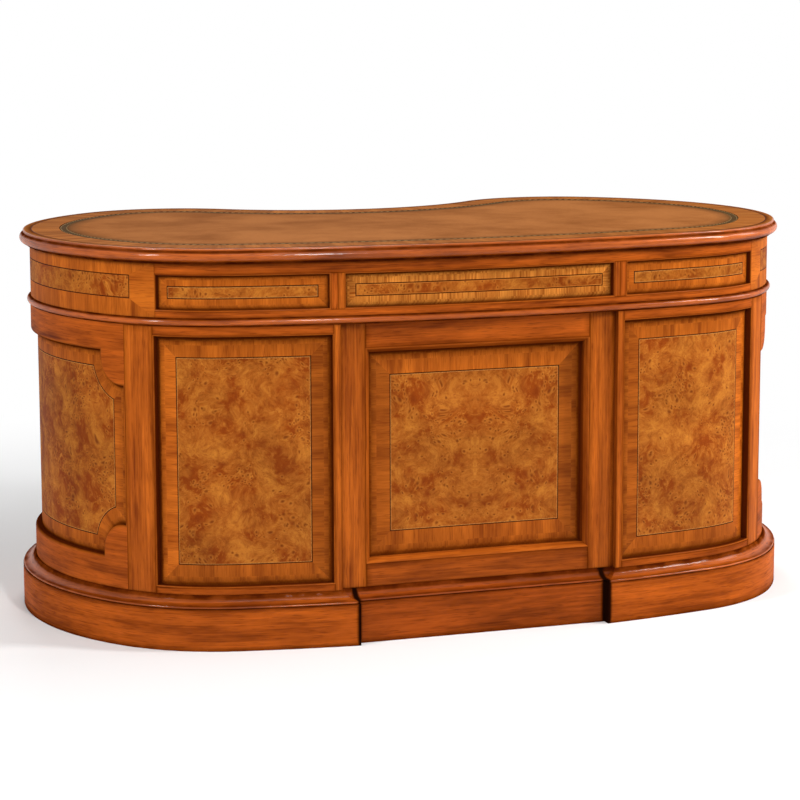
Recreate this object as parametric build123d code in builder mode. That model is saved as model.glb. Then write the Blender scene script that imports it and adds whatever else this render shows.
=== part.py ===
from build123d import *
import math
import os

# Kidney-shaped pedestal desk with seven drawers.
# X runs along the width, -Y is the visitor's side, +Y the sitter's side, Z is up.
# The origin is on the floor, under the middle of the whole desk.
# A station is a length along the body's outline, from the middle of the visitor's side.
# An offset is a distance out from that outline, negative towards the inside.

# Plan of the body: five kinds of tangent arc, of which two radii follow from width and depth
body_width = 1546.0
body_depth = 908.0
shoulder_radius = 319.0
lobe_radius = 226.0
front_turn = 11.6
shoulder_turn = 40.6
end_turn = 92.1
lobe_turn = 77.0

# Top
desk_height = 762.0
top_thickness = 29.0
top_overhang = 19.0
top_moulding_width = 23.0
leather_border = 80.0
leather_thickness = 1.6
leather_bed = 2.0
edge_bead_radius = 2.5
edge_bead_step = 6.0
edge_torus_radius = 9.5
edge_fillet = 3.5

# Frieze and waist moulding
frieze_height = 102.2
frieze_setback = 1.0
frieze_thickness = 22.0
frieze_lower_rail = 15.2
frieze_upper_rail = 23.4
frieze_stile = 31.5
frieze_panel_inset = 5.0
frieze_end_stile = 37.0
frieze_recess = 9.0
waist_height = 16.0
waist_projection = 6.5
waist_lipping = 12.0
waist_fillet = 2.0

# Pedestals
pedestal_inner = 283.0
pedestal_lift = 5.0
wall_thickness = 26.0
panel_thickness = 4.0
panel_recess = 13.0
inner_stile = 17.0
corner_stile = 71.0
panel_top_rail = 19.8
end_panel_half = 324.311
end_panel_top_rail = 53.8
end_panel_bottom_rail = 60.0
notch_radius = 50.0
notch_drop = 15.0
notch_lip = 7.0
side_thickness = 16.0
floor_thickness = 16.0
shelf_thickness = 16.0
upper_bay_height = 189.8

# Modesty panel between the pedestals
modesty_setback = 32.0
modesty_thickness = 30.0
modesty_stile = 62.0
modesty_bottom_rail = 54.0
modesty_top_rail = 58.8
modesty_recess = 22.0
modesty_sticking = 9.0

# Plinth
plinth_height = 81.0
plinth_projection = 27.0
plinth_moulding_height = 22.0
plinth_bead = 5.0
plinth_bead_sag = 2.0
plinth_step = 3.0
plinth_top_margin = 3.0
plinth_cove_sag = 3.0

# Drawers
drawer_end_margin = 144.0
drawer_gap = 1.5
front_thickness = 20.0
box_wall = 10.0
box_bottom = 8.0
box_side_gap = 4.0
runner_gap = 0.3
rim_drop = 22.0
partition_shift = 1.0
partition_thickness = 16.0
centre_drawer_depth = 385.0
side_drawer_depth = 505.0
pedestal_drawer_depth = 515.0

# Swan-neck pulls
pull_spacing = 64.0
pull_lift = 14.0
pull_standoff = 14.0
centre_pull_reach = 130.0
rosette_radius = 11.0
rosette_thickness = 2.6
rosette_bed = 9.0
post_radius = 3.2
eye_radius = 5.6
bail_wire = 4.0
bail_clearance = 0.3
bail_ear = 12.0
bail_drop = 27.0
bail_pin_depth = 3.0
bail_shoulder_share = 0.93
bail_shoulder_drop_share = 0.6
bail_bottom_share = 0.46
bail_ear_bend = 4.5
bail_shoulder_bend = 14.0
bail_bottom_bend = 12.0

# Room that a cut runs past the face that it leaves
overrun = 5.0

# Places that follow from the sizes above
plan_depth = body_depth + top_overhang + plinth_projection
front_y = top_overhang - plan_depth / 2
half_width = body_width / 2
wide = body_width
top_bottom = desk_height - top_thickness
frieze_bottom = top_bottom - frieze_height
frieze_panel_bottom = frieze_bottom + frieze_lower_rail
frieze_panel_top = top_bottom - frieze_upper_rail
waist_bottom = frieze_bottom - waist_height
plinth_top = plinth_height + plinth_moulding_height
floor_bottom = plinth_top
floor_top = floor_bottom + floor_thickness
shelf_top = waist_bottom - upper_bay_height
shelf_bottom = shelf_top - shelf_thickness
panel_bottom = floor_top
panel_top = waist_bottom - panel_top_rail
end_panel_bottom = plinth_top + end_panel_bottom_rail
end_panel_top = waist_bottom - end_panel_top_rail
modesty_opening_bottom = plinth_top + modesty_bottom_rail
modesty_opening_top = waist_bottom - modesty_top_rail
modesty_opening_half = pedestal_inner - modesty_stile
frieze_face = -frieze_setback
frieze_inside = frieze_face - frieze_thickness
panel_face = -panel_recess
pocket_bottom = panel_face - panel_thickness
modesty_face = front_y + modesty_setback
modesty_back = modesty_face + modesty_thickness
pedestal_side_inside = pedestal_inner + side_thickness
drawer_outer = half_width - drawer_end_margin
partition_centre = pedestal_inner + partition_shift
partition_inner = partition_centre - partition_thickness / 2
partition_outer = partition_centre + partition_thickness / 2


def sin(degrees):
    return math.sin(math.radians(degrees))


def cos(degrees):
    return math.cos(math.radians(degrees))


def plan_radii():
    """Front and end radius, from the width and depth that the arcs have to span."""
    first = front_turn
    second = first + shoulder_turn
    third = second + end_turn
    width_left = half_width - shoulder_radius * (sin(second) - sin(first))
    depth_left = body_depth - shoulder_radius * (cos(first) - cos(second))
    depth_left = depth_left - lobe_radius * (1 + cos(third))
    spread = cos(second) - cos(third)
    rest = 1 - sin(second)
    rise = 1 - cos(first)
    scale = sin(first) * spread - rest * rise
    front = (width_left * spread - rest * depth_left) / scale
    end = (sin(first) * depth_left - rise * width_left) / scale
    return front, end


front_radius, end_radius = plan_radii()


def plan_arcs():
    """Right half of the outline as centre, radius, first angle and turn of each arc."""
    x, y, heading = 0, front_y, 0
    arcs = []
    pairs = (
        (front_radius, front_turn),
        (shoulder_radius, shoulder_turn),
        (end_radius, end_turn),
        (lobe_radius, lobe_turn),
    )
    for radius, turn in pairs:
        centre_x = x - radius * sin(heading)
        centre_y = y + radius * cos(heading)
        arcs.append((centre_x, centre_y, radius, heading - 90, turn))
        heading = heading + turn
        x = centre_x + radius * sin(heading)
        y = centre_y - radius * cos(heading)
    hollow_turn = heading - 180
    hollow_radius = x / sin(hollow_turn)
    hollow_centre = y + hollow_radius * cos(hollow_turn)
    return arcs, hollow_turn, hollow_radius, hollow_centre


right_arcs, hollow_turn, hollow_radius, hollow_centre = plan_arcs()
front_length = front_radius * math.radians(front_turn)
half_length = sum(arc[2] * math.radians(arc[4]) for arc in right_arcs)
end_centre_x, end_centre_y = right_arcs[2][0], right_arcs[2][1]
lobe_centre_x, lobe_centre_y = right_arcs[3][0], right_arcs[3][1]

# Stations of the panels: the end panel lies round the widest place, the front panel between stiles
end_middle = half_length - lobe_radius * math.radians(lobe_turn)
end_middle = end_middle - end_radius * math.radians(end_turn - (90 - front_turn - shoulder_turn))
end_panel_start = end_middle - end_panel_half
end_panel_stop = end_middle + end_panel_half
panel_start = pedestal_inner + inner_stile
panel_stop = end_panel_start - corner_stile
frieze_side_start = panel_start + frieze_panel_inset
frieze_side_stop = panel_stop - frieze_panel_inset
frieze_centre_half = frieze_side_start - frieze_stile
frieze_rail_reach = frieze_side_stop + frieze_end_stile


def outline(offset):
    """Closed outline at an offset, drawn in the active line."""
    centre_x, centre_y, radius, angle, turn = right_arcs[0]
    CenterArc((0, centre_y), radius + offset, angle - turn, 2 * turn)
    for centre_x, centre_y, radius, angle, turn in right_arcs[1:]:
        CenterArc((centre_x, centre_y), radius + offset, angle, turn)
        CenterArc((-centre_x, centre_y), radius + offset, 180 - angle - turn, turn)
    CenterArc((0, hollow_centre), hollow_radius - offset, 270 - hollow_turn, 2 * hollow_turn)


def plan_face(offset):
    """Whole plan at an offset."""
    with BuildSketch() as plan:
        with BuildLine():
            outline(offset)
        make_face()
    return plan.sketch


def strip(low_x, high_x, low_y, high_y, mode):
    """Upright region of the plan between two places on X and two on Y."""
    with Locations(((low_x + high_x) / 2, (low_y + high_y) / 2)):
        Rectangle(high_x - low_x, high_y - low_y, mode=mode)


def stretch(start, stop):
    """Arcs between two stations, the first of them reaching across the middle."""
    arcs = []
    station = -front_length
    for index, (centre_x, centre_y, radius, angle, turn) in enumerate(right_arcs):
        if index == 0:
            angle, turn = angle - turn, 2 * turn
        length = radius * math.radians(turn)
        low = max(start, station)
        high = min(stop, station + length)
        if high > low:
            first = angle + math.degrees((low - station) / radius)
            size = math.degrees((high - low) / radius)
            arcs.append((centre_x, centre_y, radius, first, size))
        station = station + length
    return arcs


def place(arc, offset, share):
    """Point on an arc at an offset, at a share of its turn."""
    centre_x, centre_y, radius, first, size = arc
    angle = first + size * share
    return (centre_x + (radius + offset) * cos(angle), centre_y + (radius + offset) * sin(angle))


def band(start, stop, outer, inner):
    """Band of the plan between two stations and two offsets, with square ends."""
    arcs = stretch(start, stop)
    with BuildSketch() as strip_plan:
        with BuildLine():
            for centre_x, centre_y, radius, first, size in arcs:
                CenterArc((centre_x, centre_y), radius + outer, first, size)
                CenterArc((centre_x, centre_y), radius + inner, first, size)
            Line(place(arcs[0], outer, 0), place(arcs[0], inner, 0))
            Line(place(arcs[-1], outer, 1), place(arcs[-1], inner, 1))
        make_face()
    return strip_plan.sketch


def station_plane(station, height):
    """Plane on the outline: local X along it, local Y up, local Z outwards."""
    arc = stretch(station - overrun, station)[-1]
    angle = arc[3] + arc[4]
    x, y = place(arc, 0, 1)
    along = (-sin(angle), cos(angle), 0)
    return Plane(origin=(x, y, height), x_dir=along, z_dir=(cos(angle), sin(angle), 0))


def profile_plane():
    """Plane across the outline at the visitor's side: local X outwards, local Y up."""
    return Plane(origin=(0, front_y, 0), x_dir=(0, -1, 0), z_dir=(-1, 0, 0))


def save(part, name):
    part.label = name
    export_step(part, "parts/" + name + ".step")


def save_pair(part, name):
    """The right-hand piece as it is, and its mirror image on the left."""
    save(part, name + "_right")
    with BuildPart() as left:
        add(part)
        mirror(about=Plane.YZ, mode=Mode.REPLACE)
    save(left.part, name + "_left")


os.makedirs("parts", exist_ok=True)

# Top: a core board, a solid edge moulding round it and a leather sheet let into it
core_offset = top_overhang - top_moulding_width
leather_offset = top_overhang - leather_border

with BuildPart() as top_board:
    with BuildSketch(Plane.XY.offset(top_bottom)):
        add(plan_face(core_offset))
    extrude(amount=top_thickness)
    with BuildSketch(Plane.XY.offset(desk_height)):
        add(plan_face(leather_offset))
    extrude(amount=-leather_bed, mode=Mode.SUBTRACT)
save(top_board.part, "top_board")

with BuildPart() as top_leather:
    with BuildSketch(Plane.XY.offset(desk_height - leather_bed)):
        add(plan_face(leather_offset))
    extrude(amount=leather_thickness)
save(top_leather.part, "top_leather")

with BuildPart() as top_edge:
    torus_x = top_overhang - edge_torus_radius
    torus_y = desk_height - edge_bead_step - edge_torus_radius
    neck_x = torus_x + edge_bead_radius
    neck_y = torus_y + math.sqrt(edge_torus_radius ** 2 - edge_bead_radius ** 2)
    with BuildLine() as top_edge_path:
        outline(0)
    with BuildSketch(profile_plane()):
        with BuildLine():
            Polyline(
                (torus_x, torus_y - edge_torus_radius),
                (torus_x - edge_fillet, torus_y - edge_torus_radius),
                (torus_x - edge_fillet, top_bottom),
                (core_offset, top_bottom),
                (core_offset, desk_height),
                (neck_x - edge_bead_radius, desk_height),
            )
            CenterArc((neck_x - edge_bead_radius, desk_height - edge_bead_radius), edge_bead_radius, 0, 90)
            Line((neck_x, desk_height - edge_bead_radius), (neck_x, neck_y))
            ThreePointArc(
                (neck_x, neck_y),
                (top_overhang, torus_y),
                (torus_x, torus_y - edge_torus_radius),
            )
        make_face()
    sweep(path=top_edge_path.wires()[0])
save(top_edge.part, "top_edge_moulding")

# Frieze: a blind-panelled rail towards the visitor and two curved ends
frieze_pocket = frieze_face - frieze_recess - panel_thickness
frieze_panel_height = frieze_panel_top - frieze_panel_bottom

with BuildPart() as half_rail:
    with BuildSketch(Plane.XY.offset(frieze_bottom)):
        add(band(0, frieze_rail_reach, frieze_face, frieze_inside))
    extrude(amount=top_bottom - frieze_bottom)
    with BuildSketch(Plane.XY.offset(frieze_panel_bottom)):
        add(band(frieze_side_start, frieze_side_stop, overrun, frieze_pocket))
        add(band(0, frieze_centre_half, overrun, frieze_pocket))
    extrude(amount=frieze_panel_height, mode=Mode.SUBTRACT)
with BuildPart() as frieze_rail:
    add(half_rail.part)
    mirror(about=Plane.YZ)
save(frieze_rail.part, "frieze_rail")

with BuildPart() as frieze_panel_side:
    with BuildSketch(Plane.XY.offset(frieze_panel_bottom)):
        add(band(frieze_side_start, frieze_side_stop, frieze_face - frieze_recess, frieze_pocket))
    extrude(amount=frieze_panel_height)
save_pair(frieze_panel_side.part, "frieze_panel")

with BuildPart() as frieze_panel_centre:
    with BuildSketch(Plane.XY.offset(frieze_panel_bottom)):
        add(band(-frieze_centre_half, frieze_centre_half, frieze_face - frieze_recess, frieze_pocket))
    extrude(amount=frieze_panel_height)
save(frieze_panel_centre.part, "frieze_panel_centre")

with BuildPart() as frieze_end:
    with BuildSketch(Plane.XY.offset(frieze_bottom)):
        add(band(frieze_rail_reach, half_length, frieze_face, frieze_inside))
        strip(-overrun, drawer_outer, 0, wide, Mode.SUBTRACT)
    extrude(amount=top_bottom - frieze_bottom)
save_pair(frieze_end.part, "frieze_end")

# Waist: a floor board under the frieze drawers, lipped all round by the waist moulding
with BuildPart() as frieze_floor:
    with BuildSketch(Plane.XY.offset(waist_bottom)):
        add(plan_face(-waist_lipping))
    extrude(amount=waist_height)
save(frieze_floor.part, "frieze_floor")

with BuildPart() as waist_moulding:
    with BuildLine() as waist_path:
        outline(0)
    with BuildSketch(profile_plane()):
        with BuildLine():
            Polyline(
                (0, frieze_bottom - waist_fillet),
                (0, frieze_bottom),
                (-waist_lipping, frieze_bottom),
                (-waist_lipping, waist_bottom),
                (0, waist_bottom),
                (0, waist_bottom + waist_fillet),
            )
            ThreePointArc(
                (0, waist_bottom + waist_fillet),
                (waist_projection, waist_bottom + waist_height / 2),
                (0, frieze_bottom - waist_fillet),
            )
        make_face()
    sweep(path=waist_path.wires()[0])
save(waist_moulding.part, "waist_moulding")

# Partitions between the frieze drawers, from the rail to the sitter's side
with BuildPart() as frieze_partition:
    with BuildSketch(Plane.XY.offset(frieze_bottom)):
        add(plan_face(frieze_face))
        strip(partition_inner, partition_outer, -wide, wide, Mode.INTERSECT)
        add(band(0, frieze_rail_reach, overrun, frieze_inside), mode=Mode.SUBTRACT)
    extrude(amount=top_bottom - frieze_bottom)
save_pair(frieze_partition.part, "frieze_partition")


# Pedestal wall: stile and rails round the front panel, then round the notched end panel
def wall_plan():
    """Curved wall, from the kneehole round the end to the drawers."""
    with BuildSketch() as wall:
        add(band(0, half_length, 0, -wall_thickness))
        strip(-wide, pedestal_inner, -wide, wide, Mode.SUBTRACT)
        strip(-overrun, drawer_outer, 0, wide, Mode.SUBTRACT)
    return wall.sketch


notch_reach = notch_lip + notch_radius


def notch_corner(flip_x, flip_z):
    """Solid corner of the notched frame: a quarter disc with a short straight and a lip."""
    station = end_panel_start if flip_x > 0 else end_panel_stop
    height = end_panel_top if flip_z < 0 else end_panel_bottom
    with BuildPart() as corner:
        with BuildSketch(station_plane(station, height)):
            with BuildLine():
                Polyline(
                    (flip_x * notch_reach, flip_z * notch_drop),
                    (flip_x * notch_reach, -flip_z * overrun),
                    (-flip_x * overrun, -flip_z * overrun),
                    (-flip_x * overrun, flip_z * (notch_drop + notch_radius)),
                    (flip_x * notch_lip, flip_z * (notch_drop + notch_radius)),
                )
                ThreePointArc(
                    (flip_x * notch_lip, flip_z * (notch_drop + notch_radius)),
                    (
                        flip_x * (notch_lip + notch_radius * cos(45)),
                        flip_z * (notch_drop + notch_radius * sin(45)),
                    ),
                    (flip_x * notch_reach, flip_z * notch_drop),
                )
            make_face()
        extrude(amount=wall_thickness, both=True)
    return corner.part


corners = [notch_corner(flip_x, flip_z) for flip_x in (1, -1) for flip_z in (1, -1)]


def notched_body(outer, inner):
    """Curved solid with the outline of the end panel, between two offsets."""
    with BuildPart() as body:
        with BuildSketch(Plane.XY.offset(end_panel_bottom)):
            add(band(end_panel_start, end_panel_stop, outer, inner))
        extrude(amount=end_panel_top - end_panel_bottom)
        for corner in corners:
            add(corner, mode=Mode.SUBTRACT)
    return body.part


with BuildPart() as pedestal_wall:
    with BuildSketch(Plane.XY.offset(pedestal_lift)):
        add(wall_plan())
    extrude(amount=waist_bottom - pedestal_lift)
    with BuildSketch(Plane.XY.offset(panel_bottom)):
        add(band(panel_start, panel_stop, overrun, pocket_bottom))
    extrude(amount=panel_top - panel_bottom, mode=Mode.SUBTRACT)
    add(notched_body(overrun, pocket_bottom), mode=Mode.SUBTRACT)
save_pair(pedestal_wall.part, "pedestal_wall")

with BuildPart() as pedestal_front_panel:
    with BuildSketch(Plane.XY.offset(panel_bottom)):
        add(band(panel_start, panel_stop, panel_face, pocket_bottom))
    extrude(amount=panel_top - panel_bottom)
save_pair(pedestal_front_panel.part, "pedestal_front_panel")

with BuildPart() as pedestal_end_panel:
    add(notched_body(panel_face, pocket_bottom))
save_pair(pedestal_end_panel.part, "pedestal_end_panel")

# Flat side of the pedestal towards the kneehole
with BuildPart() as pedestal_side:
    with BuildSketch(Plane.XY.offset(pedestal_lift)):
        add(plan_face(0))
        strip(pedestal_inner, pedestal_side_inside, -wide, wide, Mode.INTERSECT)
        add(band(0, panel_stop, overrun, -wall_thickness), mode=Mode.SUBTRACT)
    extrude(amount=waist_bottom - pedestal_lift)
save_pair(pedestal_side.part, "pedestal_side")


def pedestal_board(bottom, thickness):
    """Board that fills the inside of the pedestal, its edge flush with the drawers."""
    with BuildPart() as board:
        with BuildSketch(Plane.XY.offset(bottom)):
            add(plan_face(0))
            strip(-wide, pedestal_side_inside, -wide, wide, Mode.SUBTRACT)
            add(wall_plan(), mode=Mode.SUBTRACT)
        extrude(amount=thickness)
    return board.part


save_pair(pedestal_board(floor_bottom, floor_thickness), "pedestal_floor")
save_pair(pedestal_board(shelf_bottom, shelf_thickness), "pedestal_shelf")

# Modesty board with its sunk panel
with BuildPart() as modesty_frame:
    middle_z = (modesty_opening_bottom + modesty_opening_top) / 2
    opening_height = modesty_opening_top - modesty_opening_bottom
    with BuildSketch(Plane.XY.offset(pedestal_lift)):
        strip(-pedestal_inner, pedestal_inner, modesty_face, modesty_back, Mode.ADD)
    extrude(amount=waist_bottom - pedestal_lift)
    with BuildSketch(Plane.XZ.offset(-modesty_face)):
        with Locations((0, middle_z)):
            Rectangle(2 * modesty_opening_half, opening_height)
    extrude(amount=-modesty_recess - panel_thickness, mode=Mode.SUBTRACT)
    mouth = modesty_frame.faces().filter_by(Plane.XZ).sort_by(Axis.Y)[0].inner_wires()[0].edges()
    chamfer(mouth, length=modesty_sticking)
save(modesty_frame.part, "modesty_frame")

with BuildPart() as modesty_panel:
    with BuildSketch(Plane.XZ.offset(-modesty_face - modesty_recess)):
        with Locations((0, middle_z)):
            Rectangle(2 * modesty_opening_half, opening_height)
    extrude(amount=-panel_thickness)
save(modesty_panel.part, "modesty_panel")


# Plinth: a board round each pedestal with a coved moulding on top, and one across the middle
def plinth_section(reach):
    """Section of the plinth, from its face inwards: board, small step, bead, cove and margin."""
    bead_edge = plinth_projection - plinth_step
    cove_low = plinth_height + plinth_bead
    cove_x = (bead_edge + plinth_top_margin) / 2 - plinth_cove_sag
    cove_y = (cove_low + plinth_top) / 2 - plinth_cove_sag
    with BuildSketch() as section:
        with BuildLine():
            ThreePointArc(
                (bead_edge, plinth_height),
                (bead_edge + plinth_bead_sag, plinth_height + plinth_bead / 2),
                (bead_edge, cove_low),
            )
            ThreePointArc((bead_edge, cove_low), (cove_x, cove_y), (plinth_top_margin, plinth_top))
            Polyline(
                (plinth_top_margin, plinth_top),
                (-reach, plinth_top),
                (-reach, 0),
                (plinth_projection, 0),
                (plinth_projection, plinth_height),
                (bead_edge, plinth_height),
            )
        make_face()
    return section.sketch


with BuildPart() as plinth:
    with BuildLine() as plinth_path:
        outline(0)
    with BuildSketch(profile_plane()):
        add(plinth_section(wall_thickness))
    sweep(path=plinth_path.wires()[0])
    with BuildSketch():
        add(plan_face(0))
    extrude(amount=plinth_top)
    with BuildSketch(Plane(origin=(pedestal_inner, -wide, 0), x_dir=(-1, 0, 0), z_dir=(0, 1, 0))):
        add(plinth_section(wide))
    extrude(amount=2 * wide, mode=Mode.INTERSECT)
    with BuildSketch():
        add(plan_face(0))
        strip(-wide, pedestal_inner, -wide, wide, Mode.SUBTRACT)
        strip(-wide, pedestal_inner, modesty_face, modesty_back, Mode.ADD)
    extrude(amount=plinth_top, mode=Mode.SUBTRACT)
save_pair(plinth.part, "plinth")

with BuildPart() as plinth_left:
    add(plinth.part)
    mirror(about=Plane.YZ, mode=Mode.REPLACE)
with BuildPart() as plinth_centre:
    with BuildSketch(Plane(origin=(-pedestal_inner, modesty_face, 0), x_dir=(0, -1, 0), z_dir=(-1, 0, 0))):
        add(plinth_section(0))
    extrude(amount=-2 * pedestal_inner)
    add(plinth.part, mode=Mode.SUBTRACT)
    add(plinth_left.part, mode=Mode.SUBTRACT)
save(plinth_centre.part, "plinth_centre")


# Drawers: a bent front on an open box
def drawer_front(low_x, high_x, bottom, top, face):
    with BuildPart() as front:
        with BuildSketch(Plane.XY.offset(bottom)):
            add(plan_face(face))
            add(plan_face(face - front_thickness), mode=Mode.SUBTRACT)
            strip(low_x, high_x, 0, wide, Mode.INTERSECT)
        extrude(amount=top - bottom)
    return front.part


def drawer_box(low_x, high_x, back, bottom, top, face):
    """Sides, back and bottom; the sides run up to the bent front."""
    with BuildPart() as box:
        with BuildSketch(Plane.XY.offset(bottom)):
            add(plan_face(face - front_thickness))
            strip(low_x, high_x, back, wide, Mode.INTERSECT)
        extrude(amount=top - bottom)
        with BuildSketch(Plane.XY.offset(bottom + box_bottom)):
            add(plan_face(face - front_thickness + overrun))
            strip(low_x + box_wall, high_x - box_wall, back + box_wall, wide, Mode.INTERSECT)
        extrude(amount=top - bottom, mode=Mode.SUBTRACT)
    return box.part


def face_point(x, face):
    """Point and outward normal of the sitter's side at a place on X."""
    side = -1 if x < 0 else 1
    reach = abs(x)
    switch = hollow_radius * sin(hollow_turn)
    lobe_edge = lobe_centre_x + lobe_radius * sin(180 - front_turn - shoulder_turn - end_turn)
    if reach < switch:
        radius = hollow_radius - face
        lean = math.sqrt(radius ** 2 - reach ** 2)
        return (x, hollow_centre - lean), (-x / radius, lean / radius)
    if reach < lobe_edge:
        centre_x, centre_y, radius = lobe_centre_x, lobe_centre_y, lobe_radius + face
    else:
        centre_x, centre_y, radius = end_centre_x, end_centre_y, end_radius + face
    lean = math.sqrt(radius ** 2 - (reach - centre_x) ** 2)
    return (x, centre_y + lean), (side * (reach - centre_x) / radius, lean / radius)


def pull_plane(x, height, face):
    """Plane of a pull: local X across it, local Y up, local Z out of the front."""
    (point_x, point_y), (normal_x, normal_y) = face_point(x, face)
    across = (-normal_y, normal_x, 0)
    return Plane(origin=(point_x, point_y, height), x_dir=across, z_dir=(normal_x, normal_y, 0))


def pull_mounts(planes, front):
    """Rosettes, posts and eyes of a front's pulls, seated on its curve."""
    with BuildPart() as mounts:
        for plane in planes:
            with BuildSketch(plane.offset(-rosette_bed)):
                with Locations((-pull_spacing / 2, 0), (pull_spacing / 2, 0)):
                    Circle(rosette_radius)
            extrude(amount=rosette_bed + rosette_thickness)
            with BuildSketch(plane):
                with Locations((-pull_spacing / 2, 0), (pull_spacing / 2, 0)):
                    Circle(post_radius)
            extrude(amount=pull_standoff)
            for side in (-1, 1):
                with Locations(plane.offset(pull_standoff) * Location((side * pull_spacing / 2, 0, 0))):
                    Sphere(eye_radius)
        add(front, mode=Mode.SUBTRACT)
        for plane in planes:
            across = Plane(origin=plane.origin + plane.z_dir * pull_standoff, z_dir=plane.x_dir)
            with BuildSketch(across.offset(-pull_spacing)):
                Circle(bail_wire / 2 + bail_clearance)
            extrude(amount=2 * pull_spacing, mode=Mode.SUBTRACT)
    return mounts.part


def pull_bail(plane):
    """Swan-neck bail hanging from the eyes, bent from round wire."""
    pivot = pull_spacing / 2
    wide_end = pivot + bail_ear
    pin_end = pivot - bail_pin_depth
    shoulder = (wide_end * bail_shoulder_share, -bail_drop * bail_shoulder_drop_share)
    low = (wide_end * bail_bottom_share, -bail_drop)
    with BuildPart() as bail:
        with BuildLine(plane.offset(pull_standoff)) as path:
            FilletPolyline(
                (-pin_end, 0),
                (-wide_end, 0),
                (-shoulder[0], shoulder[1]),
                (-low[0], low[1]),
                low,
                shoulder,
                (wide_end, 0),
                (pin_end, 0),
                radius=(
                    bail_ear_bend,
                    bail_shoulder_bend,
                    bail_bottom_bend,
                    bail_bottom_bend,
                    bail_shoulder_bend,
                    bail_ear_bend,
                ),
            )
        pin = plane.origin + plane.z_dir * pull_standoff - plane.x_dir * pin_end
        with BuildSketch(Plane(origin=pin, z_dir=-plane.x_dir)):
            Circle(bail_wire / 2)
        sweep(path=path.wires()[0])
    return bail.part


def drawer(name, low_x, high_x, bottom, top, face, depth, pulls):
    """One drawer with its pulls, between the sides and boards that it runs in."""
    front_low = low_x + drawer_gap
    front_high = high_x - drawer_gap
    front = drawer_front(front_low, front_high, bottom + drawer_gap, top - drawer_gap, face)
    box_low = low_x + box_side_gap
    box_high = high_x - box_side_gap
    nearest = min(face_point(x, face)[0][1] for x in (low_x, high_x, (low_x + high_x) / 2))
    back = nearest - depth
    box = drawer_box(box_low, box_high, back, bottom + runner_gap, top - rim_drop, face)
    height = (bottom + top) / 2 + pull_lift
    planes = [pull_plane(x, height, face) for x in pulls]
    save(front, name + "_front")
    save(box, name + "_box")
    save(pull_mounts(planes, front), name + "_pull_mounts")
    for index, plane in enumerate(planes):
        suffix = "" if len(planes) == 1 else ("_right", "_left")[index]
        save(pull_bail(plane), name + "_bail" + suffix)
        pivot = plane.origin + plane.z_dir * pull_standoff
        print(name + suffix, "bail axis at", pivot, "along", plane.x_dir)
    print(name, "box inside", box_low + box_wall, box_high - box_wall, back + box_wall, nearest)


drawer(
    "drawer_centre", -partition_inner, partition_inner, frieze_bottom, top_bottom, frieze_face,
    centre_drawer_depth, (centre_pull_reach, -centre_pull_reach),
)
middle_x = (partition_outer + drawer_outer) / 2
pedestal_middle_x = (pedestal_side_inside + drawer_outer) / 2
for side, word in ((1, "right"), (-1, "left")):
    frieze_edges = sorted((side * partition_outer, side * drawer_outer))
    pedestal_edges = sorted((side * pedestal_side_inside, side * drawer_outer))
    drawer(
        "drawer_frieze_" + word, *frieze_edges, frieze_bottom, top_bottom, frieze_face,
        side_drawer_depth, (side * middle_x,),
    )
    drawer(
        "drawer_upper_" + word, *pedestal_edges, shelf_top, waist_bottom, 0,
        pedestal_drawer_depth, (side * pedestal_middle_x,),
    )
    drawer(
        "drawer_file_" + word, *pedestal_edges, floor_top, shelf_bottom, 0,
        pedestal_drawer_depth, (side * pedestal_middle_x,),
    )
print("front radius", front_radius, "end radius", end_radius, "hollow radius", hollow_radius)
print("end panel", end_panel_start, end_panel_stop, "half length", half_length)
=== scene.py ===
import math
from functools import partial

import bmesh
import bpy
from mathutils import Matrix, Vector


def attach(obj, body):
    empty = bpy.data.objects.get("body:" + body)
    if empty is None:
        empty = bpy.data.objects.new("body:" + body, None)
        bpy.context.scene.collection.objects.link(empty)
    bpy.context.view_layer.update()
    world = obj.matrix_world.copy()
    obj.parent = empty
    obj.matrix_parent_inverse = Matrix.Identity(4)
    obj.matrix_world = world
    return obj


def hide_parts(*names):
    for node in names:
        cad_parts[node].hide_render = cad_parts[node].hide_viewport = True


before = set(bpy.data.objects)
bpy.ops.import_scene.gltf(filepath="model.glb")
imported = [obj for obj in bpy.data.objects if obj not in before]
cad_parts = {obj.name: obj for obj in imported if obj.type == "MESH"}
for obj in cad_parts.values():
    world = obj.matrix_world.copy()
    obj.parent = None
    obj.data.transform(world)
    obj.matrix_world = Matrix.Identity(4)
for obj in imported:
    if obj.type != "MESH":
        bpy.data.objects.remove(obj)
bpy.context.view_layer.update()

bl_info = {
    "name": "Kidney desk finish",
    "version": (1, 0, 0),
    "blender": (4, 5, 0),
    "location": "View3D > Sidebar > Desk",
    "description": "Veneers, inlays, leather and pulls for a kidney-shaped pedestal desk",
    "category": "Object",
}

# The plan of the body, in metres and degrees: tangent arcs from the middle of the visitor's side
FRONT_Y = -0.458
PLAN_ARCS = ((2.3973851, 11.6), (0.319, 40.6), (0.4909490, 92.1), (0.226, 77.0), (-0.4356039, 41.3))

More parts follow.
